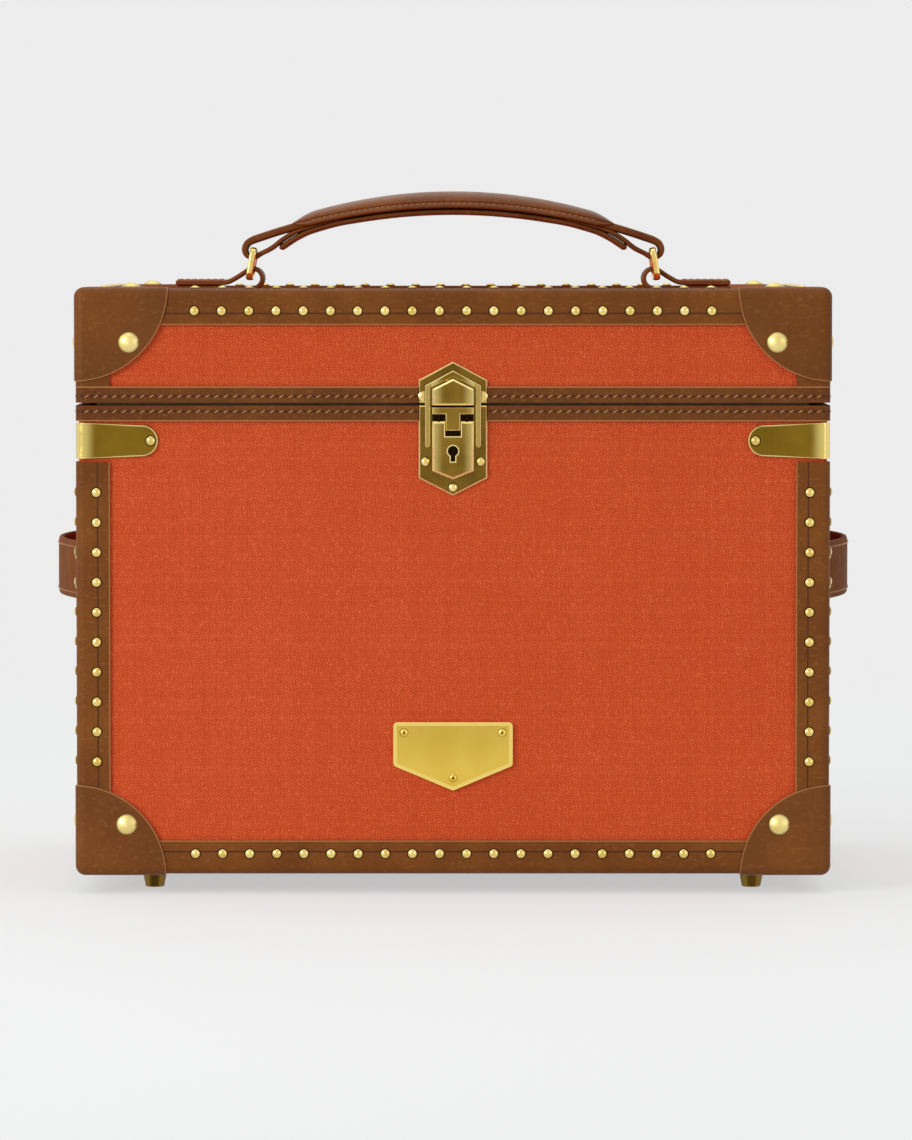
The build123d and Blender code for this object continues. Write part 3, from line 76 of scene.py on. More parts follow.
class Finish:
    """A finish while it is being mixed: colour and relief are built up in turn, then laid on pieces."""

    def __init__(self, name, **values):
        self.material = bpy.data.materials.new(name)
        self.material.use_nodes = True
        self.tree = self.material.node_tree
        self.shader = self.tree.nodes["Principled BSDF"]
        for socket, value in values.items():
            self.shader.inputs[socket.replace("_", " ")].default_value = value
        coordinates = self.tree.nodes.new("ShaderNodeTexCoord")
        self.place = coordinates.outputs["Object"]
        self.facing = coordinates.outputs["Normal"]
        self.colour = None
        self.relief = None
        self.roughness = None

    def node(self, kind, inputs, **settings):
        """A node of one kind, its inputs given as numbers or as other nodes' outlets."""
        made = self.tree.nodes.new("ShaderNode" + kind)
        for setting, value in settings.items():
            setattr(made, setting, value)
        for key, value in inputs.items():
            if isinstance(value, bpy.types.NodeSocket):
                self.tree.links.new(value, made.inputs[key])
            else:
                made.inputs[key].default_value = value
        return made

    def sum(self, operation, *values):
        """One step of arithmetic."""
        return self.node("Math", dict(enumerate(values)), operation=operation).outputs[0]

    def split(self, vector):
        """The three parts of a vector."""
        return self.node("SeparateXYZ", {0: vector}).outputs

    def blend(self, share, first, second, how="MIX"):
        """Two colours mixed by a share from 0 to 1."""
        made = self.node("Mix", {0: share, 6: first, 7: second}, data_type="RGBA", blend_type=how)
        return made.outputs[2]

    def fade(self, value, start, end, low=0.0, high=1.0):
        """A value that runs smoothly from low at the start to high at the end."""
        limits = {0: value, 1: start, 2: end, 3: low, 4: high}
        return self.node("MapRange", limits, interpolation_type="SMOOTHSTEP").outputs[0]

    def speckle(self, size, detail=2.0, stretch=(1, 1, 1)):
        """Cloudy noise with spots of about one size, drawn out along an axis by its stretch."""
        scale = tuple(1 / s for s in stretch)
        where = self.node("Mapping", {0: self.place, 3: scale}).outputs[0]
        return self.node("TexNoise", {"Vector": where, "Scale": 1 / size, "Detail": detail}).outputs[0]

    def line(self, distance, centre, half_width):
        """1 on the line where a distance equals the centre, and 0 beside it."""
        away = self.sum("ABSOLUTE", self.sum("SUBTRACT", distance, centre))
        return self.fade(away, 0.3 * half_width, half_width, 1.0, 0.0)

    def slant(self, low=0.8, high=0.97):
        """1 on bevels and roundings, and 0 on faces square to an axis: 1 - max(|nx|, |ny|, |nz|)."""
        x, y, z = [self.sum("ABSOLUTE", part) for part in self.split(self.facing)]
        squarest = self.sum("MAXIMUM", x, self.sum("MAXIMUM", y, z))
        return self.fade(squarest, low, high, 1.0, 0.0)

    def raise_by(self, height):
        """Add a height in metres to the relief."""
        self.relief = height if self.relief is None else self.sum("ADD", self.relief, height)

    def mark(self, mask, shade, height):
        """Lay a colour over the masked stretch and raise or sink it."""
        self.colour = self.blend(mask, self.colour, (*shade, 1))
        self.raise_by(self.sum("MULTIPLY", mask, height))

    def tint(self, mask, shade):
        """Lay a colour, 0 to 255 each way, over the masked stretch."""
        self.colour = self.blend(mask, self.colour, (*tone(*shade), 1))

    def lay_on(self, *objects):
        """Wire the colour, relief and roughness up, and put the finish on objects or named solids."""
        if not self.shader.inputs["Base Color"].is_linked:
            self.tree.links.new(self.colour, self.shader.inputs["Base Color"])
            if self.roughness is not None:
                self.tree.links.new(self.roughness, self.shader.inputs["Roughness"])
            if self.relief is not None:
                bump = self.node("Bump", {"Strength": 1.0, "Distance": 1.0, "Height": self.relief})
                self.tree.links.new(bump.outputs[0], self.shader.inputs["Normal"])
        for each in objects:
            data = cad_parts[each].data if isinstance(each, str) else each.data
            data.materials.clear()
            data.materials.append(self.material)


def tone(red, green, blue):
    """A colour as it looks on paper, 0 to 255 each way, turned into light amounts."""
    return tuple(((part / 255 + 0.055) / 1.055) ** 2.4 for part in (red, green, blue))


birch = Finish("Birch plywood", Roughness=0.62)
ply_thickness = 1.2 * mm
grain = birch.speckle(1.5 * mm, 3, stretch=(24, 3, 24))
birch.colour = birch.blend(grain, (*tone(202, 166, 118), 1), (*tone(176, 134, 88), 1))
plies = birch.sum("PINGPONG", birch.split(birch.place)[2], ply_thickness)
birch.mark(birch.fade(plies, 0.9 * ply_thickness, ply_thickness), tone(120, 84, 50), -0.02 * mm)
birch.lay_on(
    "base_board",
    "body_front_board",
    "body_back_board",
    "body_side_boards",
    "lid_top_board",
    "lid_front_board",
    "lid_back_board",
    "lid_side_boards",
)

# The canvas: a plain weave of heavy cotton, dyed orange-red and lightly coated, glued over the
# boards of the body and of the lid and turned in at the rims.

canvas = Finish("Orange canvas", Roughness=0.8, Sheen_Weight=0.03, Sheen_Roughness=0.4)
canvas.shader.inputs["Specular IOR Level"].default_value = 0.14
thread_pitch = 0.72 * mm
x, y, z = canvas.split(canvas.place)
face_x, _, face_z = [canvas.sum("ABSOLUTE", part) for part in canvas.split(canvas.facing)]
on_sides = canvas.sum("GREATER_THAN", face_x, 0.6)
on_top = canvas.sum("GREATER_THAN", face_z, 0.6)
warp = canvas.node("Mix", {0: on_sides, 2: x, 3: y}).outputs[0]
weft = canvas.node("Mix", {0: on_top, 2: z, 3: y}).outputs[0]
wobble = canvas.sum("MULTIPLY", canvas.speckle(4 * mm, 3), 1.6 * mm)
warp_wave = canvas.sum("SINE", canvas.sum("MULTIPLY", canvas.sum("ADD", warp, wobble), pi / thread_pitch))
weft_wave = canvas.sum("SINE", canvas.sum("MULTIPLY", canvas.sum("ADD", weft, wobble), pi / thread_pitch))
warp_over = canvas.sum("GREATER_THAN", canvas.sum("MULTIPLY", warp_wave, weft_wave), 0.0)
warp_round = canvas.sum("ABSOLUTE", warp_wave)
weft_round = canvas.sum("ABSOLUTE", weft_wave)
thread_round = canvas.node("Mix", {0: warp_over, 2: weft_round, 3: warp_round}).outputs[0]
warp_slub = canvas.speckle(0.6 * mm, 2, stretch=(1, 1, 5))
weft_slub = canvas.speckle(0.6 * mm, 2, stretch=(5, 5, 1))
slub = canvas.node("Mix", {0: warp_over, 2: weft_slub, 3: warp_slub}).outputs[0]
canvas.colour = canvas.blend(
    canvas.fade(slub, 0.25, 0.75), (*tone(196, 63, 20), 1), (*tone(220, 85, 37), 1)
)
# Painted shade in the gaps between threads, where each thread's round falls away.
canvas.tint(canvas.fade(thread_round, 0.0, 0.75, 0.8, 0.0), (124, 30, 6))
# Painted highlight on the crowns of the warp threads where they pass over.
raised = canvas.sum("MULTIPLY", warp_over, canvas.fade(thread_round, 0.7, 1.0, 0.0, 0.6))
canvas.tint(raised, (240, 126, 82))
for part, way in ((warp, warp_over), (weft, canvas.sum("SUBTRACT", 1.0, warp_over))):
    thread_number = canvas.sum("FLOOR", canvas.sum("DIVIDE", canvas.sum("ADD", part, wobble), thread_pitch))
    shade = canvas.node("TexWhiteNoise", {"W": thread_number}, noise_dimensions="1D").outputs["Value"]
    pale_thread = canvas.sum("MULTIPLY", canvas.fade(shade, 0.5, 1.0, 0.0, 0.13), way)
    canvas.tint(pale_thread, (236, 112, 64))
    deep_thread = canvas.sum("MULTIPLY", canvas.fade(shade, 0.0, 0.45, 0.12, 0.0), way)
    canvas.tint(deep_thread, (166, 48, 14))
specks = canvas.fade(canvas.speckle(0.9 * mm, 1), 0.56, 0.75, 0.0, 0.4)
canvas.tint(specks, (238, 122, 76))
patches = canvas.fade(canvas.speckle(45 * mm, 3), 0.35, 0.7, 0.0, 0.10)
canvas.tint(patches, (182, 60, 22))
canvas.raise_by(canvas.sum("MULTIPLY", thread_round, 0.10 * mm))
canvas.raise_by(canvas.sum("MULTIPLY", slub, 0.05 * mm))
canvas.lay_on("body_canvas", "lid_canvas")

# The leather edging: strips of smooth mid-brown hide folded over the long edges and up the corners,
# glued down and held by the studs. A tooled crease runs beside the studs.


def leather(name, deep=(106, 57, 14), pale=(122, 70, 22)):
    """Smooth tanned hide: cloudy dye, close pores, faint wrinkles and a soft gloss."""
    skin = Finish(name, Specular_IOR_Level=0.14)
    cloud = skin.speckle(26 * mm, 4)
    skin.colour = skin.blend(skin.fade(cloud, 0.3, 0.72), (*tone(*deep), 1), (*tone(*pale), 1))
    fleck = skin.fade(skin.speckle(0.9 * mm, 3), 0.5, 0.75, 0.0, 0.4)
    skin.tint(fleck, (84, 46, 16))
    worn = skin.fade(skin.speckle(1.3 * mm, 3, stretch=(2, 2, 1)), 0.52, 0.75, 0.0, 0.3)
    skin.tint(worn, (150, 98, 50))
    pores = skin.node("TexVoronoi", {"Vector": skin.place, "Scale": 1 / (0.55 * mm)}).outputs["Distance"]
    skin.raise_by(skin.sum("MULTIPLY", skin.fade(pores, 0.0, 0.45), 0.012 * mm))
    skin.raise_by(skin.sum("MULTIPLY", skin.speckle(2.2 * mm, 3), 0.03 * mm))
    skin.roughness = skin.fade(skin.speckle(9 * mm, 3), 0.25, 0.75, 0.38, 0.52)
    return skin


# Pale line for cut edges: burnishing with a painted highlight where the rounded edge catches light.
burnished_edge_highlight = tone(178, 122, 74)
creased = tone(74, 38, 16)
edging_low, edging_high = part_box("body_edging")
lid_edging_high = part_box("lid_edging")[1]
half_x = edging_high.x
half_y = edging_high.y
column_width = 14.8 * mm
column_crease = 9.6 * mm
base_strip = 14.7 * mm
base_crease = 9.9 * mm
lid_strip = 15.6 * mm
lid_crease = 10.7 * mm
crease_half_width = 0.45 * mm
edge_half_width = 0.5 * mm


def edge_distances(skin):
    """How far a point lies inside the trunk's outline along X and Y, and which faces look each way."""
    x, y, z = skin.split(skin.place)
    from_x = skin.sum("SUBTRACT", half_x, skin.sum("ABSOLUTE", x))
    from_y = skin.sum("SUBTRACT", half_y, skin.sum("ABSOLUTE", y))
    looks = [
        skin.sum("GREATER_THAN", skin.sum("ABSOLUTE", part), 0.7) for part in skin.split(skin.facing)
    ]
    return from_x, from_y, z, looks


def crease_and_edge(skin, distance, faces, crease, edge):
    """A tooled crease and a pale cut edge, burnishing with a painted highlight, both at their distances, on
    some faces only.
    """
    groove = skin.sum("MULTIPLY", faces, skin.line(distance, crease, crease_half_width))
    skin.mark(groove, creased, -0.12 * mm)
    # The pale cut edge: burnishing with a painted highlight.
    rim = skin.sum("MULTIPLY", faces, skin.line(distance, edge, edge_half_width))
    skin.mark(rim, burnished_edge_highlight, -0.05 * mm)


body_strips = leather("Body edging leather")
from_x, from_y, height, (looks_x, looks_y, looks_z) = edge_distances(body_strips)
up_from_base = body_strips.sum("SUBTRACT", height, edging_low.z)
upright = body_strips.sum("SUBTRACT", 1.0, looks_z)
crease_and_edge(body_strips, from_x, looks_y, column_crease, column_width)
crease_and_edge(body_strips, from_y, looks_x, column_crease, column_width)
crease_and_edge(body_strips, up_from_base, upright, base_crease, base_strip)
body_strips.lay_on("body_edging")

lid_strips = leather("Lid edging leather")
from_x, from_y, height, (looks_x, looks_y, looks_z) = edge_distances(lid_strips)
down_from_top = lid_strips.sum("SUBTRACT", lid_edging_high.z, height)
upright = lid_strips.sum("SUBTRACT", 1.0, looks_z)
crease_and_edge(lid_strips, down_from_top, upright, lid_crease, lid_strip)
crease_and_edge(lid_strips, from_x, looks_z, lid_crease, lid_strip)
crease_and_edge(lid_strips, from_y, looks_z, lid_crease, lid_strip)
lid_strips.lay_on("lid_edging")

# The corner caps: hide moulded wet over the eight corners, cut to a round edge that is skived,
# finished by burnishing with a painted highlight along it, and held by a large rivet on each face.

for caps, balls_radius in (("lid_corner_caps", 41.0 * mm), ("base_corner_caps", 39.8 * mm)):
    low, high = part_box(caps)
    corner_z = high.z if caps.startswith("lid") else low.z
    cap_hide = leather(caps.replace("_", " ").capitalize() + " leather", (110, 61, 18), (122, 71, 26))
    x, y, z = cap_hide.split(cap_hide.place)
    sides = (
        cap_hide.sum("SUBTRACT", high.x, cap_hide.sum("ABSOLUTE", x)),
        cap_hide.sum("SUBTRACT", high.y, cap_hide.sum("ABSOLUTE", y)),
        cap_hide.sum("SUBTRACT", corner_z, z),
    )
    squares = [cap_hide.sum("POWER", cap_hide.sum("ABSOLUTE", side), 2.0) for side in sides]
    reach = cap_hide.sum("SQRT", cap_hide.sum("ADD", cap_hide.sum("ADD", squares[0], squares[1]), squares[2]))
    # A pale line along the round edge: burnishing with a painted highlight.
    cap_hide.mark(cap_hide.line(reach, balls_radius, 0.7 * mm), burnished_edge_highlight, -0.1 * mm)
    shade = cap_hide.fade(reach, 0.55 * balls_radius, balls_radius, 0.0, 0.25)
    cap_hide.tint(shade, (84, 46, 20))
    cap_hide.lay_on(caps)

# The rim bindings: hide folded over the rims of body and lid and saddle-stitched all round with
# waxed tan thread. Each stitch goes down into an awl hole.

stitch_pitch = 4.03 * mm
rim_end_inset = 5 * mm
seam_under_body_rim = 2.6 * mm
seam_over_lid_rim = 2.8 * mm
rim_stitch_lean = 34
for binding, below in (("body_rim_binding", True), ("lid_rim_binding", False)):
    low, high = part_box(binding)
    stitch_z = high.z - seam_under_body_rim if below else low.z + seam_over_lid_rim
    edge_z = low.z if below else high.z
    hide = leather(binding.replace("_", " ").capitalize() + " leather", (96, 51, 14), (110, 62, 22))
    from_x, from_y, height, (looks_x, looks_y, looks_z) = edge_distances(hide)
    upright = hide.sum("SUBTRACT", 1.0, looks_z)
    # A pale line along the rim's edge: burnishing with a painted highlight.
    rim = hide.sum("MULTIPLY", upright, hide.line(height, edge_z, 0.6 * mm))
    hide.mark(rim, burnished_edge_highlight, -0.05 * mm)
    channel = hide.sum("MULTIPLY", upright, hide.line(height, stitch_z, 1.1 * mm))
    hide.mark(hide.sum("MULTIPLY", channel, 0.3), creased, -0.10 * mm)
    x, y, z = hide.split(hide.place)
    for along, reach, looks in ((x, high.x, looks_y), (y, high.y, looks_x)):
        span = 2 * (reach - rim_end_inset)
        spacing = span / round(span / stitch_pitch)
        from_stitch = hide.sum("PINGPONG", hide.sum("ADD", along, span / 2), spacing / 2)
        gap = hide.fade(from_stitch, spacing / 2 - 0.65 * mm, spacing / 2 - 0.35 * mm)
        # The awl holes between stitches are painted dark as the shade inside them.
        hole = hide.sum("MULTIPLY", hide.sum("MULTIPLY", gap, looks), hide.line(height, stitch_z, 0.65 * mm))
        hide.mark(hole, tone(58, 24, 6), -0.12 * mm)
    hide.lay_on(binding)


def surface(name, points, body, skin):
    """A closed skin over a grid of points, rows along it and columns round it. Both ends are closed by
    fans to the mean of their row, and all faces look outward."""
    rows, columns = points.shape[:2]
    index = np.arange(rows * columns).reshape(rows, columns)
    onward = np.roll(index, -1, axis=1)
    faces = np.stack([index[:-1], onward[:-1], onward[1:], index[1:]], axis=-1).reshape(-1, 4).tolist()
    hubs = np.full(columns, rows * columns)
    faces += np.stack([onward[0], index[0], hubs], axis=-1).tolist()
    faces += np.stack([index[-1], onward[-1], hubs + 1], axis=-1).tolist()
    places = np.vstack([points.reshape(-1, 3), points[0].mean(axis=0), points[-1].mean(axis=0)])
    mesh = bpy.data.meshes.new(name)
    mesh.from_pydata(places.tolist(), [], faces)
    shell = bmesh.new()
    shell.from_mesh(mesh)
    bmesh.ops.recalc_face_normals(shell, faces=shell.faces)
    shell.to_mesh(mesh)
    shell.free()
    mesh.polygons.foreach_set("use_smooth", [True] * len(mesh.polygons))
    piece = bpy.data.objects.new(name, mesh)
    bpy.context.scene.collection.objects.link(piece)
    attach(piece, body)
    skin.lay_on(piece)
    return piece


thread = Finish("Waxed thread", Roughness=0.5)
ply_twist = thread.speckle(0.35 * mm, 2)
thread.shader.inputs["Specular IOR Level"].default_value = 0.3
thread.colour = thread.blend(ply_twist, (*tone(140, 92, 54), 1), (*tone(196, 150, 104), 1))
thread.raise_by(thread.sum("MULTIPLY", ply_twist, 0.06 * mm))


def stitches(name, body, places, along, outward, length=2.2 * mm, thickness=0.62 * mm, slant=24):
    """Stitches at places: each a grain-shaped bead of thread that leans across its seam and dips at
    both ends. A bead is an ellipse turned about its long axis, as one grid for all of them."""
    along = along / np.linalg.norm(along, axis=1, keepdims=True)
    outward = outward / np.linalg.norm(outward, axis=1, keepdims=True)
    side = np.cross(outward, along)
    lean = radians(slant)
    lengthwise = along * cos(lean) + side * sin(lean)
    across = side * cos(lean) - along * sin(lean)
    polar = np.linspace(0, pi, 7)
    around = np.linspace(0, 2 * pi, 6, endpoint=False)
    run = -np.cos(polar)[:, None] * np.ones(6)
    out = np.sin(polar)[:, None] ** 0.7 * np.sin(around)
    over = np.sin(polar)[:, None] ** 0.7 * np.cos(around)
    beads = (
        places[:, None, None, :]
        + run[None, :, :, None] * lengthwise[:, None, None, :] * length / 2
        + over[None, :, :, None] * across[:, None, None, :] * thickness / 2
        + out[None, :, :, None] * outward[:, None, None, :] * thickness / 2
    )
    count, rows, columns = beads.shape[:3]
    index = np.arange(count * rows * columns).reshape(count, rows, columns)
    onward = np.roll(index, -1, axis=2)
    faces = np.stack([index[:, :-1], onward[:, :-1], onward[:, 1:], index[:, 1:]], axis=-1).reshape(-1, 4)
    mesh = bpy.data.meshes.new(name)
    mesh.from_pydata(beads.reshape(-1, 3).tolist(), [], faces.tolist())
    mesh.polygons.foreach_set("use_smooth", [True] * len(mesh.polygons))
    piece = bpy.data.objects.new(name, mesh)
    bpy.context.scene.collection.objects.link(piece)
    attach(piece, body)
    thread.lay_on(piece)
    return piece


def round_the_rim(name, body, node, stitch_z, slant):
    """Stitches along the four faces of a rim binding, clear of the lock in front and the hinges."""
    low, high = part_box(node)
    places, along, outward = [], [], []
    lock_half = 15.6 * mm
    hinge_place = 95 * mm
    hinge_half = 24.5 * mm
    for direction, face, reach in (
        ((1, 0), low.y, high.x),
        ((-1, 0), high.y, high.x),
        ((0, 1), high.x, high.y),
        ((0, -1), low.x, high.y),
    ):
        count = round(2 * (reach - rim_end_inset) / stitch_pitch)
        for k in range(count + 1):
            run = (2 * k / count - 1) * (reach - rim_end_inset)
            if direction[0] and face < 0 and abs(run) < lock_half:
                continue
            if direction[0] and face > 0 and abs(abs(run) - hinge_place) < hinge_half:
                continue
            if direction[0]:
                places.append((run, face, stitch_z))
                along.append((direction[0], 0, 0))
                outward.append((0, np.sign(face), 0))
            else:
                places.append((face, run, stitch_z))
                along.append((0, direction[1], 0))
                outward.append((np.sign(face), 0, 0))
    fields = [np.array(field, float) for field in (places, along, outward)]
    return stitches(name, body, *fields, slant=slant)


body_binding_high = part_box("body_rim_binding")[1]
lid_binding_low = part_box("lid_rim_binding")[0]
body_seam_z = body_binding_high.z - seam_under_body_rim
round_the_rim("body_rim_stitches", "body", "body_rim_binding", body_seam_z, rim_stitch_lean)
lid_seam_z = lid_binding_low.z + seam_over_lid_rim
round_the_rim("lid_rim_stitches", "lid", "lid_rim_binding", lid_seam_z, rim_stitch_lean)

# Studs and cap rivets: domed heads of polished brass, lacquered. The dome studs run in rows along
# the edging, and the large rivets hold the caps.


def brass(name, bright, dull, roughness, drawn=(1, 1, 1), cloud_size=7 * mm):
    """Brass with faint polishing marks: cloudy tarnish over the bright metal, and fine scratches."""
    metal = Finish(name, Metallic=1.0)
    cloud = metal.speckle(cloud_size, 2)
    metal.colour = metal.blend(metal.fade(cloud, 0.3, 0.75), (*tone(*bright), 1), (*tone(*dull), 1))
    marks = metal.speckle(0.12 * mm, 2, stretch=drawn)
    metal.raise_by(metal.sum("MULTIPLY", marks, 0.002 * mm))
    low, high = roughness
    metal.roughness = metal.fade(metal.speckle(2.5 * mm, 3), 0.3, 0.7, low, high)
    return metal



def shaded_foot(metal, shade, start, end, dimple=None):
    """A painted shade: a dark line round the foot of each dome. It deepens as the dome turns
    from its wall, and the wall is the one whose face the head stands out of. A painted dark
    reflection darkens the middle, from the squareness given."""
    up_x, up_y, up_z = metal.split(metal.facing)
    x, y, z = metal.split(metal.place)
    squareness = 0.0
    for part, look, limit in (
        (metal.sum("ABSOLUTE", x), up_x, half_x),
        (metal.sum("ABSOLUTE", y), up_y, half_y),
        (z, up_z, lid_edging_high.z),
        (metal.sum("MULTIPLY", z, -1.0), up_z, -edging_low.z),
    ):
        stands_out = metal.sum("GREATER_THAN", part, limit - 0.4 * mm)
        here = metal.sum("MULTIPLY", stands_out, metal.sum("ABSOLUTE", look))
        squareness = metal.sum("MAXIMUM", squareness, here)
    # Painted shade round the foot of each dome.
    metal.tint(metal.fade(squareness, start, end, 1.0, 0.0), shade)
    # A painted dark reflection in the middle of the dome.
    if dimple:
        middle = metal.fade(squareness, dimple, dimple + 0.015)
        metal.tint(middle, shade)
    return metal


polished = brass("Polished brass", (250, 222, 138), (226, 190, 98), (0.14, 0.22))
shaded_foot(polished, (76, 48, 12), 0.67, 0.81)
polished.lay_on("body_studs", "lid_studs", "side_handle_rivets")
cap_brass = brass("Cap rivet brass", (246, 226, 150), (236, 210, 126), (0.36, 0.46))
shaded_foot(cap_brass, (80, 54, 16), 0.73, 0.83)
cap_brass.lay_on("base_cap_rivets", "lid_cap_rivets")

# Corner clips: brass sheet bent round the corners, darkened by pickling and rubbed bright along its
# cut edges, with a painted highlight there and another beside each bend, each leg held by one small rivet.


def antique(name, flat, lit, rim, roughness=(0.24, 0.36)):
    """Pickled brass: brushed flats of two tones, and every bevel painted bright, as rubbed brass with a
    painted highlight.
    """
    metal = brass(name, lit, flat, roughness, drawn=(1, 1, 40), cloud_size=16 * mm)
    streaks = metal.speckle(0.5 * mm, 2, stretch=(1, 1, 24))
    metal.tint(metal.fade(streaks, 0.4, 0.75, 0.0, 0.4), lit)
    # Bevels painted pale: rubbed brass with a painted highlight.
    metal.tint(metal.slant(), rim)
    return metal


clip_low, clip_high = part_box("corner_clips")
clip_metal = antique("Clip brass", (124, 94, 24), (142, 112, 34), (246, 224, 146), (0.16, 0.26))
x, y, z = clip_metal.split(clip_metal.place)
off_middle = clip_metal.sum("ABSOLUTE", clip_metal.sum("SUBTRACT", z, (clip_low.z + clip_high.z) / 2))
looks = clip_metal.split(clip_metal.facing)
for part, reach, look in ((x, clip_high.x, looks[1]), (y, clip_high.y, looks[0])):
    on_face = clip_metal.sum("GREATER_THAN", clip_metal.sum("ABSOLUTE", look), 0.9)
    inward = clip_metal.sum("SUBTRACT", reach, clip_metal.sum("ABSOLUTE", part))
    # A painted highlight on each face just beside the bend.
    near = clip_metal.fade(inward, 3 * mm, 9 * mm, 0.8, 0.0)
    bend_highlight = clip_metal.sum("MULTIPLY", near, clip_metal.fade(inward, 0.6 * mm, 2.2 * mm))
    clip_metal.tint(clip_metal.sum("MULTIPLY", bend_highlight, on_face), (240, 218, 128))
    half_height = clip_metal.fade(inward, 0.0, 32 * mm, 7.85 * mm, 6.5 * mm)
    past = clip_metal.sum("MAXIMUM", clip_metal.sum("SUBTRACT", inward, 29.0 * mm), 0.0)
    squares = [clip_metal.sum("POWER", off, 2.0) for off in (past, off_middle)]
    round_it = clip_metal.sum("ADD", *squares)
    inside = clip_metal.sum("SUBTRACT", half_height, clip_metal.sum("SQRT", round_it))
    # The cut edges: rubbed brass with a painted highlight.
    cut_edge = clip_metal.sum("MULTIPLY", on_face, clip_metal.fade(inside, 0.15 * mm, 0.5 * mm, 0.85, 0.0))
    clip_metal.tint(cut_edge, (244, 222, 142))
clip_metal.lay_on("corner_clips")

rivet_brass = brass("Rubbed brass", (250, 224, 146), (220, 182, 94), (0.14, 0.22))
shaded_foot(rivet_brass, (60, 40, 10), 0.66, 0.86)
rivet_brass.lay_on("corner_clip_rivets", "body_small_rivets", "lid_small_rivets")

# The feet: turned from brass, darkened, and painted darker still as the shade under the box, each
# held by one countersunk steel screw.

# Dark brass painted darker still as the shade the feet stand in.
foot_brass_in_shade = antique("Foot brass in painted shade", (74, 50, 14), (104, 76, 26), (150, 118, 50))
foot_brass_in_shade.lay_on("feet")
steel = Finish("Drawn steel", Metallic=1.0)
steel.colour = steel.blend(steel.speckle(1 * mm, 2), (*tone(150, 150, 152), 1), (*tone(190, 190, 192), 1))
steel.roughness = steel.fade(steel.speckle(0.6 * mm, 2), 0.3, 0.7, 0.25, 0.4)
steel.lay_on("foot_screws")

# Side handles: a strap of hide bowed out from each side wall, saddle-stitched along both edges and
# riveted through its ends.


def smooth(points, count):
    """A curve through points in millimetres: Catmull-Rom, that is cubic Hermite pieces over the
    chord length whose slopes are the central differences."""
    points = np.array(points, float)
    chord = np.concatenate([[0], np.cumsum(np.linalg.norm(np.diff(points, axis=0), axis=1))])
    slopes = np.gradient(points, chord, axis=0)
    at = np.linspace(0, chord[-1], count)
    k = np.clip(np.searchsorted(chord, at, side="right") - 1, 0, len(points) - 2)
    span = (chord[k + 1] - chord[k])[:, None]
    t = ((at - chord[k])[:, None]) / span
    start = (2 * t**3 - 3 * t**2 + 1) * points[k] + (t**3 - 2 * t**2 + t) * span * slopes[k]
    return start + (3 * t**2 - 2 * t**3) * points[k + 1] + (t**3 - t**2) * span * slopes[k + 1]


def squared(wave, power):
    """A sine or cosine made squarer or rounder: its sign times its size to a power."""
    return np.sign(wave) * np.abs(wave) ** power


def strip(name, body, path, width_way, width, thickness, skin, corner=6.0):
    """A leather strip swept along a path, all in millimetres. Its section is the superellipse
    |a / (width / 2)|^n + |b / (thickness / 2)|^n = 1, a along width_way, b along the path's normal and
    n the corner, and its thickness falls as a half circle at both ends."""
    path = np.array(path, float)
    run = np.concatenate([[0], np.cumsum(np.linalg.norm(np.diff(path, axis=0), axis=1))])
    thickness = np.broadcast_to(thickness, run.shape)
    width = np.broadcast_to(width, run.shape)
    nose = thickness[0] / 2
    bend = nose * (1 - np.cos(np.linspace(0.25, pi / 2, 6)))
    at = np.unique(np.concatenate([bend, run[(run > nose) & (run < run[-1] - nose)], run[-1] - bend]))
    path = np.stack([np.interp(at, run, path[:, k]) for k in range(3)], axis=1)
    end = np.minimum(np.minimum(at, run[-1] - at) / nose, 1.0)
    half_thickness = np.interp(at, run, thickness) / 2 * np.sqrt(1 - (1 - end) ** 2)
    half_width = np.interp(at, run, width) / 2 - 0.3 * nose * (1 - end)
    tangent = np.gradient(path, at, axis=0)
    tangent /= np.linalg.norm(tangent, axis=1, keepdims=True)
    way = np.array(width_way, float)
    normal = np.cross(way, tangent)
    turn = np.linspace(0, 2 * pi, 56, endpoint=False)
    across = squared(np.cos(turn), 2 / corner)
    through = squared(np.sin(turn), 2 / corner)
    points = (
        path[:, None, :]
        + (half_width[:, None] * across)[..., None] * way
        + (half_thickness[:, None] * through)[..., None] * normal[:, None, :]
    )
    piece = surface(name, points * mm, body, skin)
    return piece


def stitch_row(name, body, path, offset, outward, pitch, start, end, **sizes):
    """Stitches spaced evenly along a path in millimetres, moved off it by an offset at each place."""
    path = np.array(path, float)
    run = np.concatenate([[0], np.cumsum(np.linalg.norm(np.diff(path, axis=0), axis=1))])
    count = int((run[-1] - start - end) / pitch)
    at = np.linspace(start, run[-1] - end, count + 1)
    tangent = np.gradient(path, run, axis=0)
    every = [
        np.stack([np.interp(at, run, field[:, k]) for k in range(3)], axis=1)
        for field in (path, tangent, outward)
    ]
    places = every[0] + offset(every[1], every[2])
    return stitches(name, body, places * mm, every[1], every[2], **sizes)


strap_hide = leather("Strap leather", (98, 51, 16), (118, 66, 24))
strap_hide.mark(strap_hide.fade(strap_hide.speckle(14 * mm, 4), 0.45, 0.8, 0.0, 0.25), tone(146, 92, 50), 0.0)

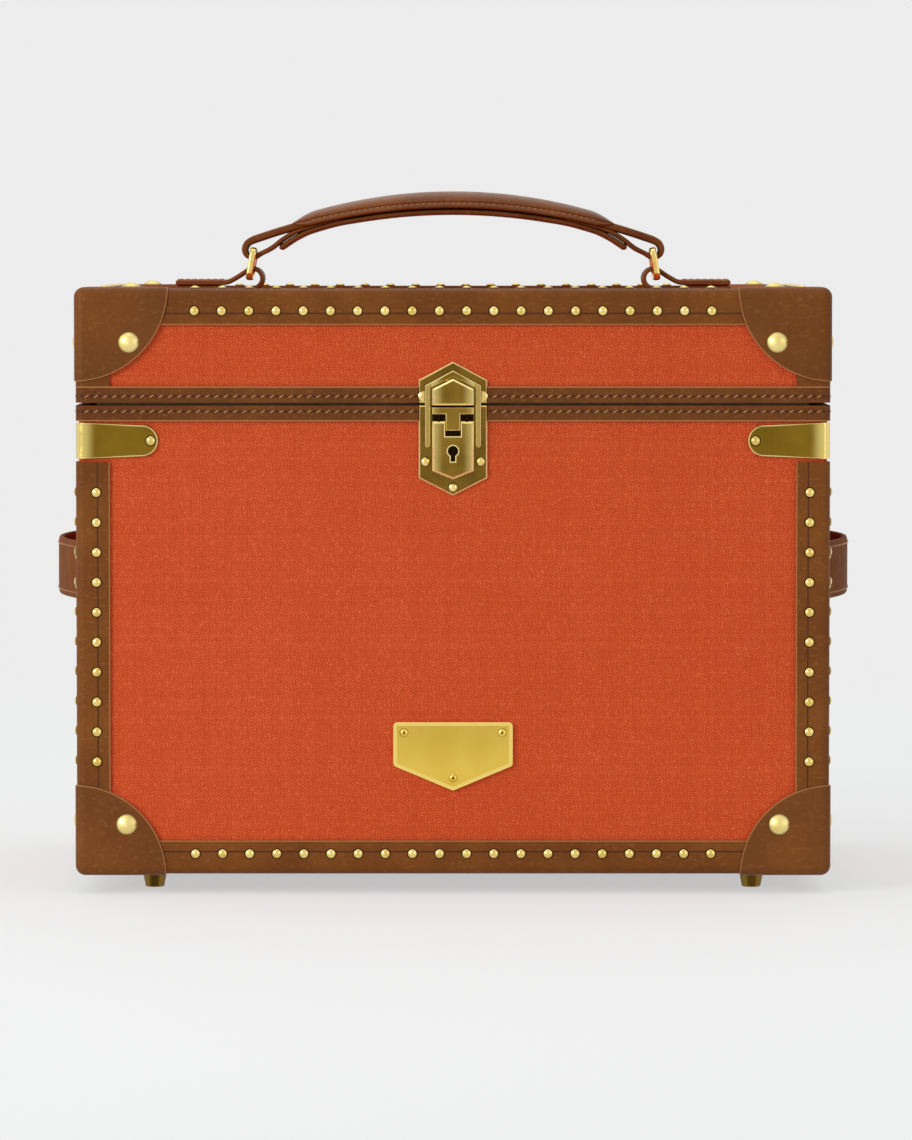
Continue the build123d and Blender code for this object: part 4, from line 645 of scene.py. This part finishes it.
side_hide = leather("Side handle leather", (104, 53, 13), (124, 69, 22))
side_hide.shader.inputs["Specular IOR Level"].default_value = 0.05
side_hide.roughness = side_hide.fade(side_hide.speckle(9 * mm, 3), 0.25, 0.75, 0.55, 0.7)
side_low, side_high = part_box("side_handle_right")
handle_width = 25.5
seam_offset = 10.2
handle_bow = 13.0
bow_half = 66.0
thickness = 3.0
wall_x = side_low.x / mm + thickness / 2
middle_z = (side_low.z + side_high.z) / 2 / mm
bow_radius = (handle_bow**2 + bow_half**2) / (2 * handle_bow)
y = np.concatenate([[-82, -78, -74, -70, -67.5], np.linspace(-64, 64, 41), [67.5, 70, 74, 78, 82]])
bow = handle_bow - bow_radius + np.sqrt(bow_radius**2 - np.minimum(y**2, bow_half**2))
x = np.where(np.abs(y) < bow_half, bow, 0)
for side, name in ((1, "side_handle_right"), (-1, "side_handle_left")):
    path = smooth(np.stack([side * (wall_x + x), y, np.full_like(y, middle_z)], axis=1), 120)
    piece = strip(name + "_strap", "body", path, (0, 0, 1), handle_width, thickness, side_hide)
    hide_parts(name)
    tangent = np.gradient(path, axis=0)
    outward = np.cross(tangent, (0, 0, side))
    outward /= np.linalg.norm(outward, axis=1, keepdims=True)
    for edge in (-1, 1):
        stitch_row(
            f"{name}_stitches_{'low' if edge < 0 else 'high'}",
            "body",
            path,
            lambda way, out: out * thickness / 2 + np.array((0, 0, edge * seam_offset)),
            outward,
            3.6,
            3.0,
            3.0,
            length=2.3 * mm,
            thickness=0.7 * mm,
            slant=16,
        )

# The badge: a five-sided plate of satin brass with a raised rim, riveted at three places. Its face
# is left plain.

badge_brass = brass("Satin brass", (240, 204, 90), (226, 186, 66), (0.17, 0.25), (30, 1, 1), 30 * mm)
low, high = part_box("badge_plate")
x, y, z = badge_brass.split(badge_brass.place)
# Painted shade: darker towards the top of the plate.
upper = badge_brass.fade(z, low.z + 5 * mm, high.z, 0.0, 0.35)
badge_brass.tint(upper, (176, 140, 56))
in_front = badge_brass.fade(y, low.y + 0.05 * mm, low.y + 0.2 * mm, 0.9, 0.0)
badge_brass.tint(in_front, (250, 222, 122))
badge_brass.lay_on("badge_plate")
badge_pins = brass("Badge rivet brass", (246, 214, 110), (228, 190, 80), (0.16, 0.24))
shaded_foot(badge_pins, (120, 84, 22), 0.57, 0.7, dimple=0.955)
badge_pins.lay_on("badge_rivets")

# The lock: two riveted plates, a hinged hasp with a plain plaque, a housing with the keyhole, and a
# sprung button. It is cast brass, darkened and rubbed, so flats are deep; bevels are painted bright as
# rubbed brass with a painted highlight, raised faces get painted light towards their edges, hole edges
# get a painted highlight, and holes and recesses get painted shade.

seam_z = (body_binding_high.z + lid_binding_low.z) / 2
pale_rim = (255, 232, 158)
# Colour of the painted shade in the lock's holes and recesses.
recess_shade = (34, 20, 6)
plate_brass = antique("Lock plate brass", (104, 78, 26), (130, 100, 36), pale_rim)
x, y, z = plate_brass.split(plate_brass.place)
behind = plate_brass.fade(plate_brass.sum("ABSOLUTE", x), 8.6 * mm, 9.4 * mm, 1.0, 0.0)
below_peak = plate_brass.sum("GREATER_THAN", z, seam_z - 27 * mm)
covered = plate_brass.sum("MULTIPLY", behind, plate_brass.sum("LESS_THAN", z, seam_z - 0.9 * mm))
# The plate behind the housing, seen through its slot, is painted dark as shade.
plate_brass.tint(plate_brass.sum("MULTIPLY", covered, below_peak), recess_shade)
plate_brass.lay_on("lock_body_plate", "lock_lid_plate", "lock_hasp_pin")


def pillow_shaded(name, half_width):
    """Rubbed brass on a raised face, with painted light for its rounding: deep along the middle, and painted
    paler towards both upright edges.
    """
    metal = antique(name, (118, 90, 30), (148, 116, 44), pale_rim)
    x, y, z = metal.split(metal.place)
    from_middle = metal.sum("ABSOLUTE", x)
    # Painted light: paler towards both upright edges, as on a rounded face.
    side_highlight = metal.fade(from_middle, 0.4 * half_width, half_width, 0.0, 0.85)
    side_highlight = metal.sum("MULTIPLY", side_highlight, metal.sum("LESS_THAN", from_middle, half_width + 0.4 * mm))
    metal.tint(side_highlight, (222, 198, 122))
    return metal, metal.sum("ABSOLUTE", x), y, z


def rub_and_highlight_bevels(metal):
    """Bevels painted bright, as rubbed brass with a painted highlight, over whatever colour lies there."""
    metal.tint(metal.slant(), pale_rim)
    return metal


housing_brass, x, y, z = pillow_shaded("Lock housing brass", 9.6 * mm)
from_key = housing_brass.sum("SUBTRACT", z, seam_z - 20.3 * mm)
round_key = housing_brass.sum(
    "SQRT",
    housing_brass.sum("ADD", *[housing_brass.sum("POWER", off, 2.0) for off in (x, from_key)]),
)
slot_side = housing_brass.sum("SUBTRACT", x, 1.0 * mm)
slot_end = housing_brass.sum("SUBTRACT", housing_brass.sum("MULTIPLY", from_key, -1.0), 4.6 * mm)
from_slot = housing_brass.sum("MAXIMUM", housing_brass.sum("MAXIMUM", slot_side, slot_end), from_key)
from_keyhole = housing_brass.sum("MINIMUM", housing_brass.sum("SUBTRACT", round_key, 2.3 * mm), from_slot)
stem_end = housing_brass.sum("SUBTRACT", seam_z - 13.9 * mm, z)
from_stem = housing_brass.sum("MAXIMUM", housing_brass.sum("SUBTRACT", x, 3.45 * mm), stem_end)
from_hole = housing_brass.sum("MINIMUM", from_keyhole, from_stem)
# A painted highlight round the edges of the keyhole and of the stem's slot.
lip_highlight = housing_brass.fade(from_hole, 0.25 * mm, 0.6 * mm, 1.0, 0.0)
housing_brass.tint(lip_highlight, pale_rim)
# Painted shade inside the keyhole and the slot under the stem.
inside = housing_brass.fade(from_hole, -0.05 * mm, 0.0, 1.0, 0.0)
housing_brass.tint(inside, recess_shade)
rub_and_highlight_bevels(housing_brass).lay_on("lock_housing")

hasp_brass, x, y, z = pillow_shaded("Lock hasp brass", 9.0 * mm)
canvas_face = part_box("body_canvas")[0].y
on_legs = hasp_brass.sum("GREATER_THAN", x, 9.5 * mm)
hasp_brass.tint(hasp_brass.sum("MULTIPLY", on_legs, 0.5), (214, 188, 112))
# Painted shade on the sunk face of the hasp.
sunk = hasp_brass.fade(y, canvas_face - 3.9 * mm, canvas_face - 3.3 * mm)
hasp_brass.tint(hasp_brass.sum("MULTIPLY", sunk, 0.7), recess_shade)
rub_and_highlight_bevels(hasp_brass).lay_on("lock_hasp")

button_brass, x, y, z = pillow_shaded("Lock button brass", 12.0 * mm)
rub_and_highlight_bevels(button_brass)
# Painted shade beside the stem and under the bar of the button.
beside_stem = button_brass.sum("GREATER_THAN", x, 3.3 * mm)
under_bar = button_brass.sum("LESS_THAN", z, seam_z - 4.35 * mm)
button_brass.tint(button_brass.sum("MULTIPLY", beside_stem, under_bar), recess_shade)
button_brass.lay_on("lock_button")
steel.lay_on("lock_springs")
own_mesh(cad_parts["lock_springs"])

# The hinges: riveted leaves of the same darkened brass, with knuckles on a pin.

hinge_brass = antique("Hinge brass", (120, 94, 36), (150, 122, 54), (226, 198, 120))
hinge_brass.lay_on("hinge_body_leaves", "hinge_lid_leaves", "hinge_pins")

# The top handle: two tabs stitched to the lid, each folded round a ring's lower bar, and a strap
# looped over the rings' upper bars with its ends tucked between it and a lower strap. A padded grip
# is sewn round the middle. Half of each path is given, and the other half mirrors it.

lid_top = lid_edging_high.z / mm - 1.4
ring_bar = np.array((90.04, 0, lid_top + 18.15))
bow_centre = ring_bar[2] - 245.83
under_radius = 264.48
over_radius = under_radius + 3.5
leaf = 2.1


def arc(radius, x):
    """Points in the handle's middle plane on an arc about the strap's centre."""
    return np.stack([x, 0 * x, bow_centre + np.sqrt(radius**2 - x**2)], axis=1)


def both_sides(half):
    """A path from the right end to the left one, given from the middle to the right end."""
    half = np.array(half, float)
    return np.vstack([half[::-1], (half * (-1, 1, 1))[1:]])


crown = arc(under_radius + 1.75, np.linspace(0, ring_bar[0] - 3, 36))
loop = ring_bar + np.array(
    [
        (0.3, 0, 4.62),
        (3.0, 0, 3.0),
        (4.15, 0, 0.4),
        (3.35, 0, -2.1),
        (0.9, 0, -3.42),
        (-3.5, 0, -1.35),
        (-7.6, 0, 0.7),
        (-13.0, 0, 4.8),
        (-18.0, 0, 7.85),
        (-24.0, 0, 9.9),
        (-32.0, 0, 12.0),
        (-39.0, 0, 13.6),
    ]
)
half = np.vstack([crown, smooth(np.vstack([crown[-2:], loop]), 70)[6:]])
path = both_sides(half)
turned = np.arange(len(half)) - len(crown)
skived = np.clip((len(half) - 1 - np.arange(len(half))) / 26, 0.25, 1)
leaf_thickness = (3.5 - (3.5 - leaf) * np.clip(turned / 14, 0, 1)) * skived
strap = strip(
    "handle_strap_leather",
    "handle",
    path,
    (0, 1, 0),
    24.0,
    np.concatenate([leaf_thickness[::-1], leaf_thickness[1:]]),
    strap_hide,
)
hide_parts("handle_strap")

lower = arc(under_radius - 1.43, np.linspace(0, 42, 18))
tip = smooth(
    np.vstack(
        [
            lower[-2:],
            ring_bar
            + np.array(
                [
                    (-38.0, 0, 12.1),
                    (-30.0, 0, 9.95),
                    (-24.0, 0, 7.95),
                    (-19.5, 0, 5.7),
                    (-11.7, 0, 0.65),
                ]
            ),
        ]
    ),
    40,
)
lower_strap = strip(
    "handle_lower_strap_leather",
    "handle",
    both_sides(np.vstack([lower, tip[3:]])),
    (0, 1, 0),
    23.6,
    2.75,
    strap_hide,
    corner=4.0,
)
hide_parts("handle_lower_strap")

grip_half = 72.4
along = np.sin(np.linspace(-pi / 2, pi / 2, 90)) * grip_half
closeness = np.clip((grip_half - np.abs(along)) / 12.4, 0, 1)
rise = (3.0 + 1.3 * np.clip(1 - (along / 60) ** 2, 0, 1)) * np.sin(closeness * pi / 2) + 0.15
flange = 3.2 * np.clip((grip_half - np.abs(along)) / 7.0, 0, 1) ** 0.5
half_grip = 13.95 - 1.2 * (1 - closeness) ** 2
theta = np.linspace(0, pi / 2, 12)[1:]
side_y = np.array([0.0, 0.5, 0.88, 0.955, 0.99, 0.985, 0.955, 0.985, 1.0])
side_n = np.array([-1.0, -1.0, -1.0, -0.95, -0.72, -0.45, -0.28, -0.1, 0.0])
dome_y = np.cos(theta) ** 0.62
dome_n = np.sin(theta) ** 0.85
section_y = np.concatenate([side_y, dome_y, -dome_y[-2::-1], -side_y[:0:-1]])
down = np.concatenate([side_n, 0 * dome_y, 0 * dome_y[-2::-1], side_n[:0:-1]])
up = np.concatenate([0 * side_n, dome_n, dome_n[-2::-1], 0 * side_n[:0:-1]])
height = down * flange[:, None] + up * rise[:, None]
angle = np.arcsin(along / over_radius)[:, None]
grip_points = np.stack(
    [
        (over_radius + height) * np.sin(angle),
        half_grip[:, None] * section_y,
        bow_centre + (over_radius + height) * np.cos(angle),
    ],
    axis=-1,
)
grip_hide = leather("Grip leather", (100, 54, 18), (126, 74, 32))
grip_hide.shader.inputs["Specular IOR Level"].default_value = 0.42
grip_hide.roughness = grip_hide.fade(grip_hide.speckle(9 * mm, 3), 0.25, 0.75, 0.28, 0.40)
grip = surface("handle_grip_cover", grip_points * mm, "handle", grip_hide)
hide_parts("handle_grip")
seam_path = arc(over_radius - 0.95, np.linspace(-63, 63, 60))
for side in (-1, 1):
    stitch_row(
        f"handle_grip_stitches_{'front' if side < 0 else 'back'}",
        "handle",
        seam_path,
        lambda way, out: np.array((0, side * 13.35, 0)),
        np.tile((0.0, side, 0.0), (60, 1)),
        2.6,
        0.0,
        0.0,
        length=1.8 * mm,
        thickness=0.55 * mm,
        slant=10,
    )

ring_brass = brass("Ring brass", (250, 222, 140), (226, 188, 98), (0.10, 0.16))
ring_brass.lay_on("handle_ring_left", "handle_ring_right")

loop_x = 90.6
loop_z = lid_top + 5.4
turn = np.radians(np.linspace(-90, -302.6, 40))
round_bar = np.stack([loop_x + 4.35 * np.cos(turn), 0 * turn, loop_z + 4.35 * np.sin(turn)], axis=1)
tab_half = np.vstack(
    [
        [(x, 0, lid_top + 1.05) for x in np.linspace(125.3, 94, 24)],
        round_bar,
        smooth(
            [
                round_bar[-1],
                (97.8, 0, lid_top + 5.9),
                (102.0, 0, lid_top + 3.8),
                (106.0, 0, lid_top + 3.5),
            ],
            14,
        )[1:],
        [(x, 0, lid_top + 3.5) for x in np.linspace(108, 125.3, 14)],
    ]
)
lower_leaf = 2.06
upper_leaf = 2.8
tab_thickness = np.concatenate(
    [np.full(len(tab_half) - 20, lower_leaf), np.linspace(lower_leaf, upper_leaf, 6), np.full(14, upper_leaf)]
)
for side, name in ((1, "right"), (-1, "left")):
    path = tab_half * (side, 1, 1)
    tab = strip(f"handle_tab_{name}", "lid", path, (0, 1, 0), 23.6, tab_thickness, strap_hide)
    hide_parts("handle_tabs")
    top = np.array([(side * x, 0, lid_top + 4.9) for x in np.linspace(105, 123.4, 14)])
    for edge in (-1, 1):
        stitch_row(
            f"handle_tab_stitches_{name}_{'front' if edge < 0 else 'back'}",
            "lid",
            top,
            lambda way, out: np.array((0, edge * 9.6, 0)),
            np.tile((0.0, 0.0, 1.0), (14, 1)),
            3.0,
            0.0,
            0.0,
            length=2.0 * mm,
            thickness=0.65 * mm,
            slant=14,
        )

# The lining: beige microsuede glued over card panels, dividers, ledges and trays.

suede = Finish("Beige suede", Roughness=0.9, Sheen_Weight=0.4, Sheen_Roughness=0.4)
nap = suede.speckle(0.5 * mm, 3)
brushed = suede.fade(suede.speckle(30 * mm, 3), 0.35, 0.65)
suede.colour = suede.blend(nap, (*tone(196, 168, 130), 1), (*tone(216, 190, 154), 1))
suede.tint(suede.sum("MULTIPLY", brushed, 0.3), (178, 148, 110))
suede.raise_by(suede.sum("MULTIPLY", nap, 0.06 * mm))
suede.lay_on("body_liner", "well_floor_pad", "well_dividers", "tray_ledges", "tray_left", "tray_right")
suede.lay_on("lid_liner")

# The ring rolls: six bars of soft foam in suede, glued to the left tray's floor so close that a ring
# is held between two of them. They are crowned and a little uneven, and fuller than their solids.


def waves(first, second):
    """Unevenness of stuffed cloth from -1 to 1: four sines across two parameters."""
    return (
        np.sin(1.9 * first + 2.3 * second)
        + np.sin(3.1 * first - 1.2 * second + 1.0)
        + np.sin(5.3 * first + 0.7 * second + 2.0)
        + np.sin(7.9 * first - 2.9 * second + 4.0)
    ) / 4


rolls_low, rolls_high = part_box("ring_rolls")
roll_count = 6
roll_pitch = 16.0 * mm
roll_half_width = 7.85 * mm
first_roll_place = 7.7 * mm
turn = np.linspace(0, 2 * pi, 40, endpoint=False)
along = np.sin(np.linspace(-pi / 2, pi / 2, 48))
roll_middle = (rolls_low.x + rolls_high.x) / 2
roll_half = (rolls_high.x - rolls_low.x) / 2
roll_height = rolls_high.z - rolls_low.z
end_fall = (1 - np.abs(along[:, None]) ** 16) ** 0.35
for i in range(roll_count):
    soft = 1 + 0.03 * waves(9 * along[:, None] + 3.7 * i, 0.4 * np.sin(turn))
    across = squared(np.cos(turn), 0.75) * roll_half_width * (0.72 + 0.28 * end_fall) * soft
    above = squared(np.sin(turn), 0.85)
    lift = roll_height * (0.5 + 0.5 * above * (0.86 + 0.14 * end_fall) * soft)
    centre_y = rolls_low.y + first_roll_place + i * roll_pitch
    across, lift = np.broadcast_arrays(across, lift)
    reach = roll_half * along[:, None] + 0 * lift
    points = np.stack([roll_middle + reach, centre_y + across, rolls_low.z + np.maximum(lift, 0)], axis=-1)
    roll = surface(f"ring_roll_{i}", points, "tray_left", suede)
    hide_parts("ring_rolls")

# The watch pillows: two oval cushions of suede with a gathered seam round each end, loose in the back
# row of the right tray, for a watch or a bangle to be buckled round.

pillows_low, pillows_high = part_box("watch_pillows")
pillow_half_length = 29 * mm
pillow_half_width = (pillows_high.y - pillows_low.y) / 2
pillow_half_height = (pillows_high.z - pillows_low.z) / 2
turn = np.linspace(0, 2 * pi, 72, endpoint=False)
end_fall = (1 - np.abs(along[:, None]) ** 9) ** 0.4
gathers = 1 + 0.02 * (1 - end_fall) * np.sin(24 * turn)
for i, centre_x in enumerate((pillows_low.x + pillow_half_length, pillows_high.x - pillow_half_length)):
    soft = (1 + 0.015 * waves(3 * along[:, None] + 5 * i, 2 * np.cos(turn))) * gathers
    across = squared(np.cos(turn), 0.7) * (0.7 + 0.3 * end_fall) * soft
    above = squared(np.sin(turn), 0.8) * (0.55 + 0.45 * end_fall) * soft
    across, above = np.broadcast_arrays(across, above)
    points = np.stack(
        [
            centre_x + pillow_half_length * along[:, None] + 0 * above,
            (pillows_low.y + pillows_high.y) / 2 + pillow_half_width * across,
            pillows_low.z + np.maximum(pillow_half_height * (1 + above), 0),
        ],
        axis=-1,
    )
    pillow = surface(f"watch_pillow_{i}", points, "tray_right", suede)
    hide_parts("watch_pillows")

# The mirror: silvered glass with a faint unevenness.

silvered = Finish("Silvered glass", Metallic=1.0)
silvered.colour = silvered.blend(
    silvered.speckle(40 * mm, 2), (*tone(236, 238, 239), 1), (*tone(228, 231, 232), 1)
)
silvered.roughness = silvered.fade(silvered.speckle(60 * mm, 2), 0.3, 0.7, 0.02, 0.04)
silvered.lay_on("mirror_glass")

# The mirror's frame: a flat border of the same hide over card, screwed to the lid through its lining
# and saddle-stitched along its outer edge.

frame_hide = leather("Mirror frame leather", (100, 53, 17), (118, 67, 25))
frame_low, frame_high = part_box("mirror_frame")
x, y, z = frame_hide.split(frame_hide.place)
outside = frame_hide.sum(
    "MAXIMUM",
    frame_hide.sum("SUBTRACT", frame_hide.sum("ABSOLUTE", x), frame_high.x),
    frame_hide.sum("SUBTRACT", frame_hide.sum("ABSOLUTE", y), frame_high.y),
)
frame_hide.mark(frame_hide.line(outside, -1.6 * mm, crease_half_width), creased, -0.1 * mm)
frame_hide.lay_on("mirror_frame")
seam_inset = 3.6 * mm
seam_x = frame_high.x - seam_inset
seam_y = frame_high.y - seam_inset
corner_room = 3 * mm
frame_stitch_pitch = 4.6 * mm
frame_stitches = []
for reach, off, turned in ((seam_x, seam_y, False), (seam_y, seam_x, True)):
    count = round(2 * (reach - corner_room) / frame_stitch_pitch) + 1
    run = np.linspace(corner_room - reach, reach - corner_room, count)
    for side in (-1, 1):
        row = np.stack([run, 0 * run + side * off, 0 * run + frame_low.z], axis=1)
        frame_stitches.append(row[:, [1, 0, 2]] if turned else row)
counts = [len(row) for row in frame_stitches]
ways = np.repeat([(1.0, 0, 0), (1.0, 0, 0), (0, 1.0, 0), (0, 1.0, 0)], counts, axis=0)
downward = np.tile((0, 0, -1.0), (sum(counts), 1))
stitches("mirror_frame_stitches", "lid", np.vstack(frame_stitches), ways, downward, length=2.6 * mm)

# The studio: a pale table that fades into a pale surround and looks lit from below, one large soft
# lamp to the upper left, weaker ones to the right and above, and the camera at the photograph's angle.

floor_reach = 1.6
steps = np.linspace(0, 2 * pi, 96, endpoint=False)
rings = np.array([0.02, 0.3, 0.6, 1.0, floor_reach])
disc = np.stack(
    [rings[:, None] * np.cos(steps), rings[:, None] * np.sin(steps), np.zeros((len(rings), 96))], axis=-1
)
floor_mesh = bpy.data.meshes.new("floor")
index = np.arange(disc.shape[0] * 96).reshape(-1, 96)
onward = np.roll(index, -1, axis=1)
floor_faces = np.stack([index[:-1], index[1:], onward[1:], onward[:-1]], axis=-1).reshape(-1, 4).tolist()
floor_faces.append(index[0].tolist())
floor_mesh.from_pydata(disc.reshape(-1, 3).tolist(), [], floor_faces)
floor = bpy.data.objects.new("floor", floor_mesh)
bpy.context.scene.collection.objects.link(floor)
paper = Finish("Pale paper", Roughness=0.85, Specular_IOR_Level=0.1)
mottle = paper.speckle(3 * mm, 2)
paper.colour = paper.blend(mottle, (0.84, 0.85, 0.85, 1), (0.86, 0.87, 0.87, 1))
rays = paper.node("LightPath", {}).outputs
looked_at = paper.sum("MAXIMUM", rays["Is Glossy Ray"], rays["Is Transmission Ray"])
looked_at = paper.sum("MAXIMUM", rays["Is Camera Ray"], looked_at)
shadow_share = paper.blend(mottle, (0.30, 0.31, 0.31, 1), (0.32, 0.33, 0.33, 1))
paper.colour = paper.blend(looked_at, paper.colour, shadow_share)
table_glow = 0.53
glow = paper.sum("MULTIPLY", looked_at, table_glow)
paper.tree.links.new(glow, paper.shader.inputs["Emission Strength"])
paper.shader.inputs["Emission Color"].default_value = (1, 1, 1, 1)
px, py, _ = paper.split(paper.place)
from_middle = paper.sum("SQRT", paper.sum("ADD", paper.sum("POWER", px, 2.0), paper.sum("POWER", py, 2.0)))
paper.tree.links.new(paper.fade(from_middle, 0.45, 1.5, 1.0, 0.0), paper.shader.inputs["Alpha"])
paper.lay_on(floor)

world = bpy.data.worlds.new("studio")
bpy.context.scene.world = world
world.use_nodes = True
tree = world.node_tree
background = tree.nodes["Background"]
direction = tree.nodes.new("ShaderNodeTexCoord")
parts = tree.nodes.new("ShaderNodeSeparateXYZ")
tree.links.new(direction.outputs["Generated"], parts.inputs[0])
room = tree.nodes.new("ShaderNodeMapRange")
tree.links.new(parts.outputs[2], room.inputs[0])
for place, value in zip((1, 2, 3, 4), (-0.2, 0.9, 0.34, 0.85)):
    room.inputs[place].default_value = value
seen = tree.nodes.new("ShaderNodeLightPath")
chosen = tree.nodes.new("ShaderNodeMix")
in_view = tree.nodes.new("ShaderNodeMath")
in_view.operation = "MAXIMUM"
tree.links.new(seen.outputs["Is Camera Ray"], in_view.inputs[0])
in_glass = tree.nodes.new("ShaderNodeMath")
in_glass.operation = "MAXIMUM"
tree.links.new(seen.outputs["Is Glossy Ray"], in_glass.inputs[0])
tree.links.new(seen.outputs["Is Transmission Ray"], in_glass.inputs[1])
tree.links.new(in_glass.outputs[0], in_view.inputs[1])
tree.links.new(in_view.outputs[0], chosen.inputs[0])
tree.links.new(room.outputs[0], chosen.inputs[2])
surround_shade = 0.84
chosen.inputs[3].default_value = surround_shade
tree.links.new(chosen.outputs[0], background.inputs["Strength"])
background.inputs["Color"].default_value = (1, 1, 1, 1)


def soft_lamp(name, place, aim, size, power):
    """A square soft lamp at a place, turned towards its aim."""
    lamp = bpy.data.lights.new(name, "AREA")
    lamp.size = size
    lamp.energy = power
    holder = bpy.data.objects.new(name, lamp)
    bpy.context.scene.collection.objects.link(holder)
    holder.location = place
    away = np.array(aim) - np.array(place)
    yaw = atan2(away[1], away[0]) - pi / 2
    pitch = atan2(away[2], float(np.hypot(away[0], away[1]))) + pi / 2
    holder.rotation_euler = (pitch, 0, yaw)


middle = (0, 0, 0.15)
soft_lamp("key_lamp", (-1.7, -1.7, 0.9), middle, 1.0, 27)
soft_lamp("fill_lamp", (1.8, -1.6, 0.6), middle, 1.0, 3.5)
soft_lamp("top_lamp", (-0.2, 0.2, 2.0), middle, 2.2, 9)

front_y = solid_box[0].y + 5 * mm
camera_distance = 2.6
horizon_z = 280.9 * mm
metres_per_pixel = 0.4354 * mm
picture_height = 1140
middle_x = 1.3 * mm
middle_z = horizon_z - (picture_height / 2 - 250) * metres_per_pixel
camera_data = bpy.data.cameras.new("camera")
camera = bpy.data.objects.new("camera", camera_data)
bpy.context.scene.collection.objects.link(camera)
camera.location = (middle_x, front_y - camera_distance, horizon_z)
tilt = atan2(horizon_z - middle_z, camera_distance)
camera.rotation_euler = (pi / 2 - tilt, 0, 0)
picture_span = picture_height * metres_per_pixel
camera_data.lens = camera_data.sensor_width * camera_distance / cos(tilt) / picture_span
camera_data.dof.use_dof = False
bpy.context.scene.camera = camera
bpy.context.scene.view_settings.view_transform = "Standard"
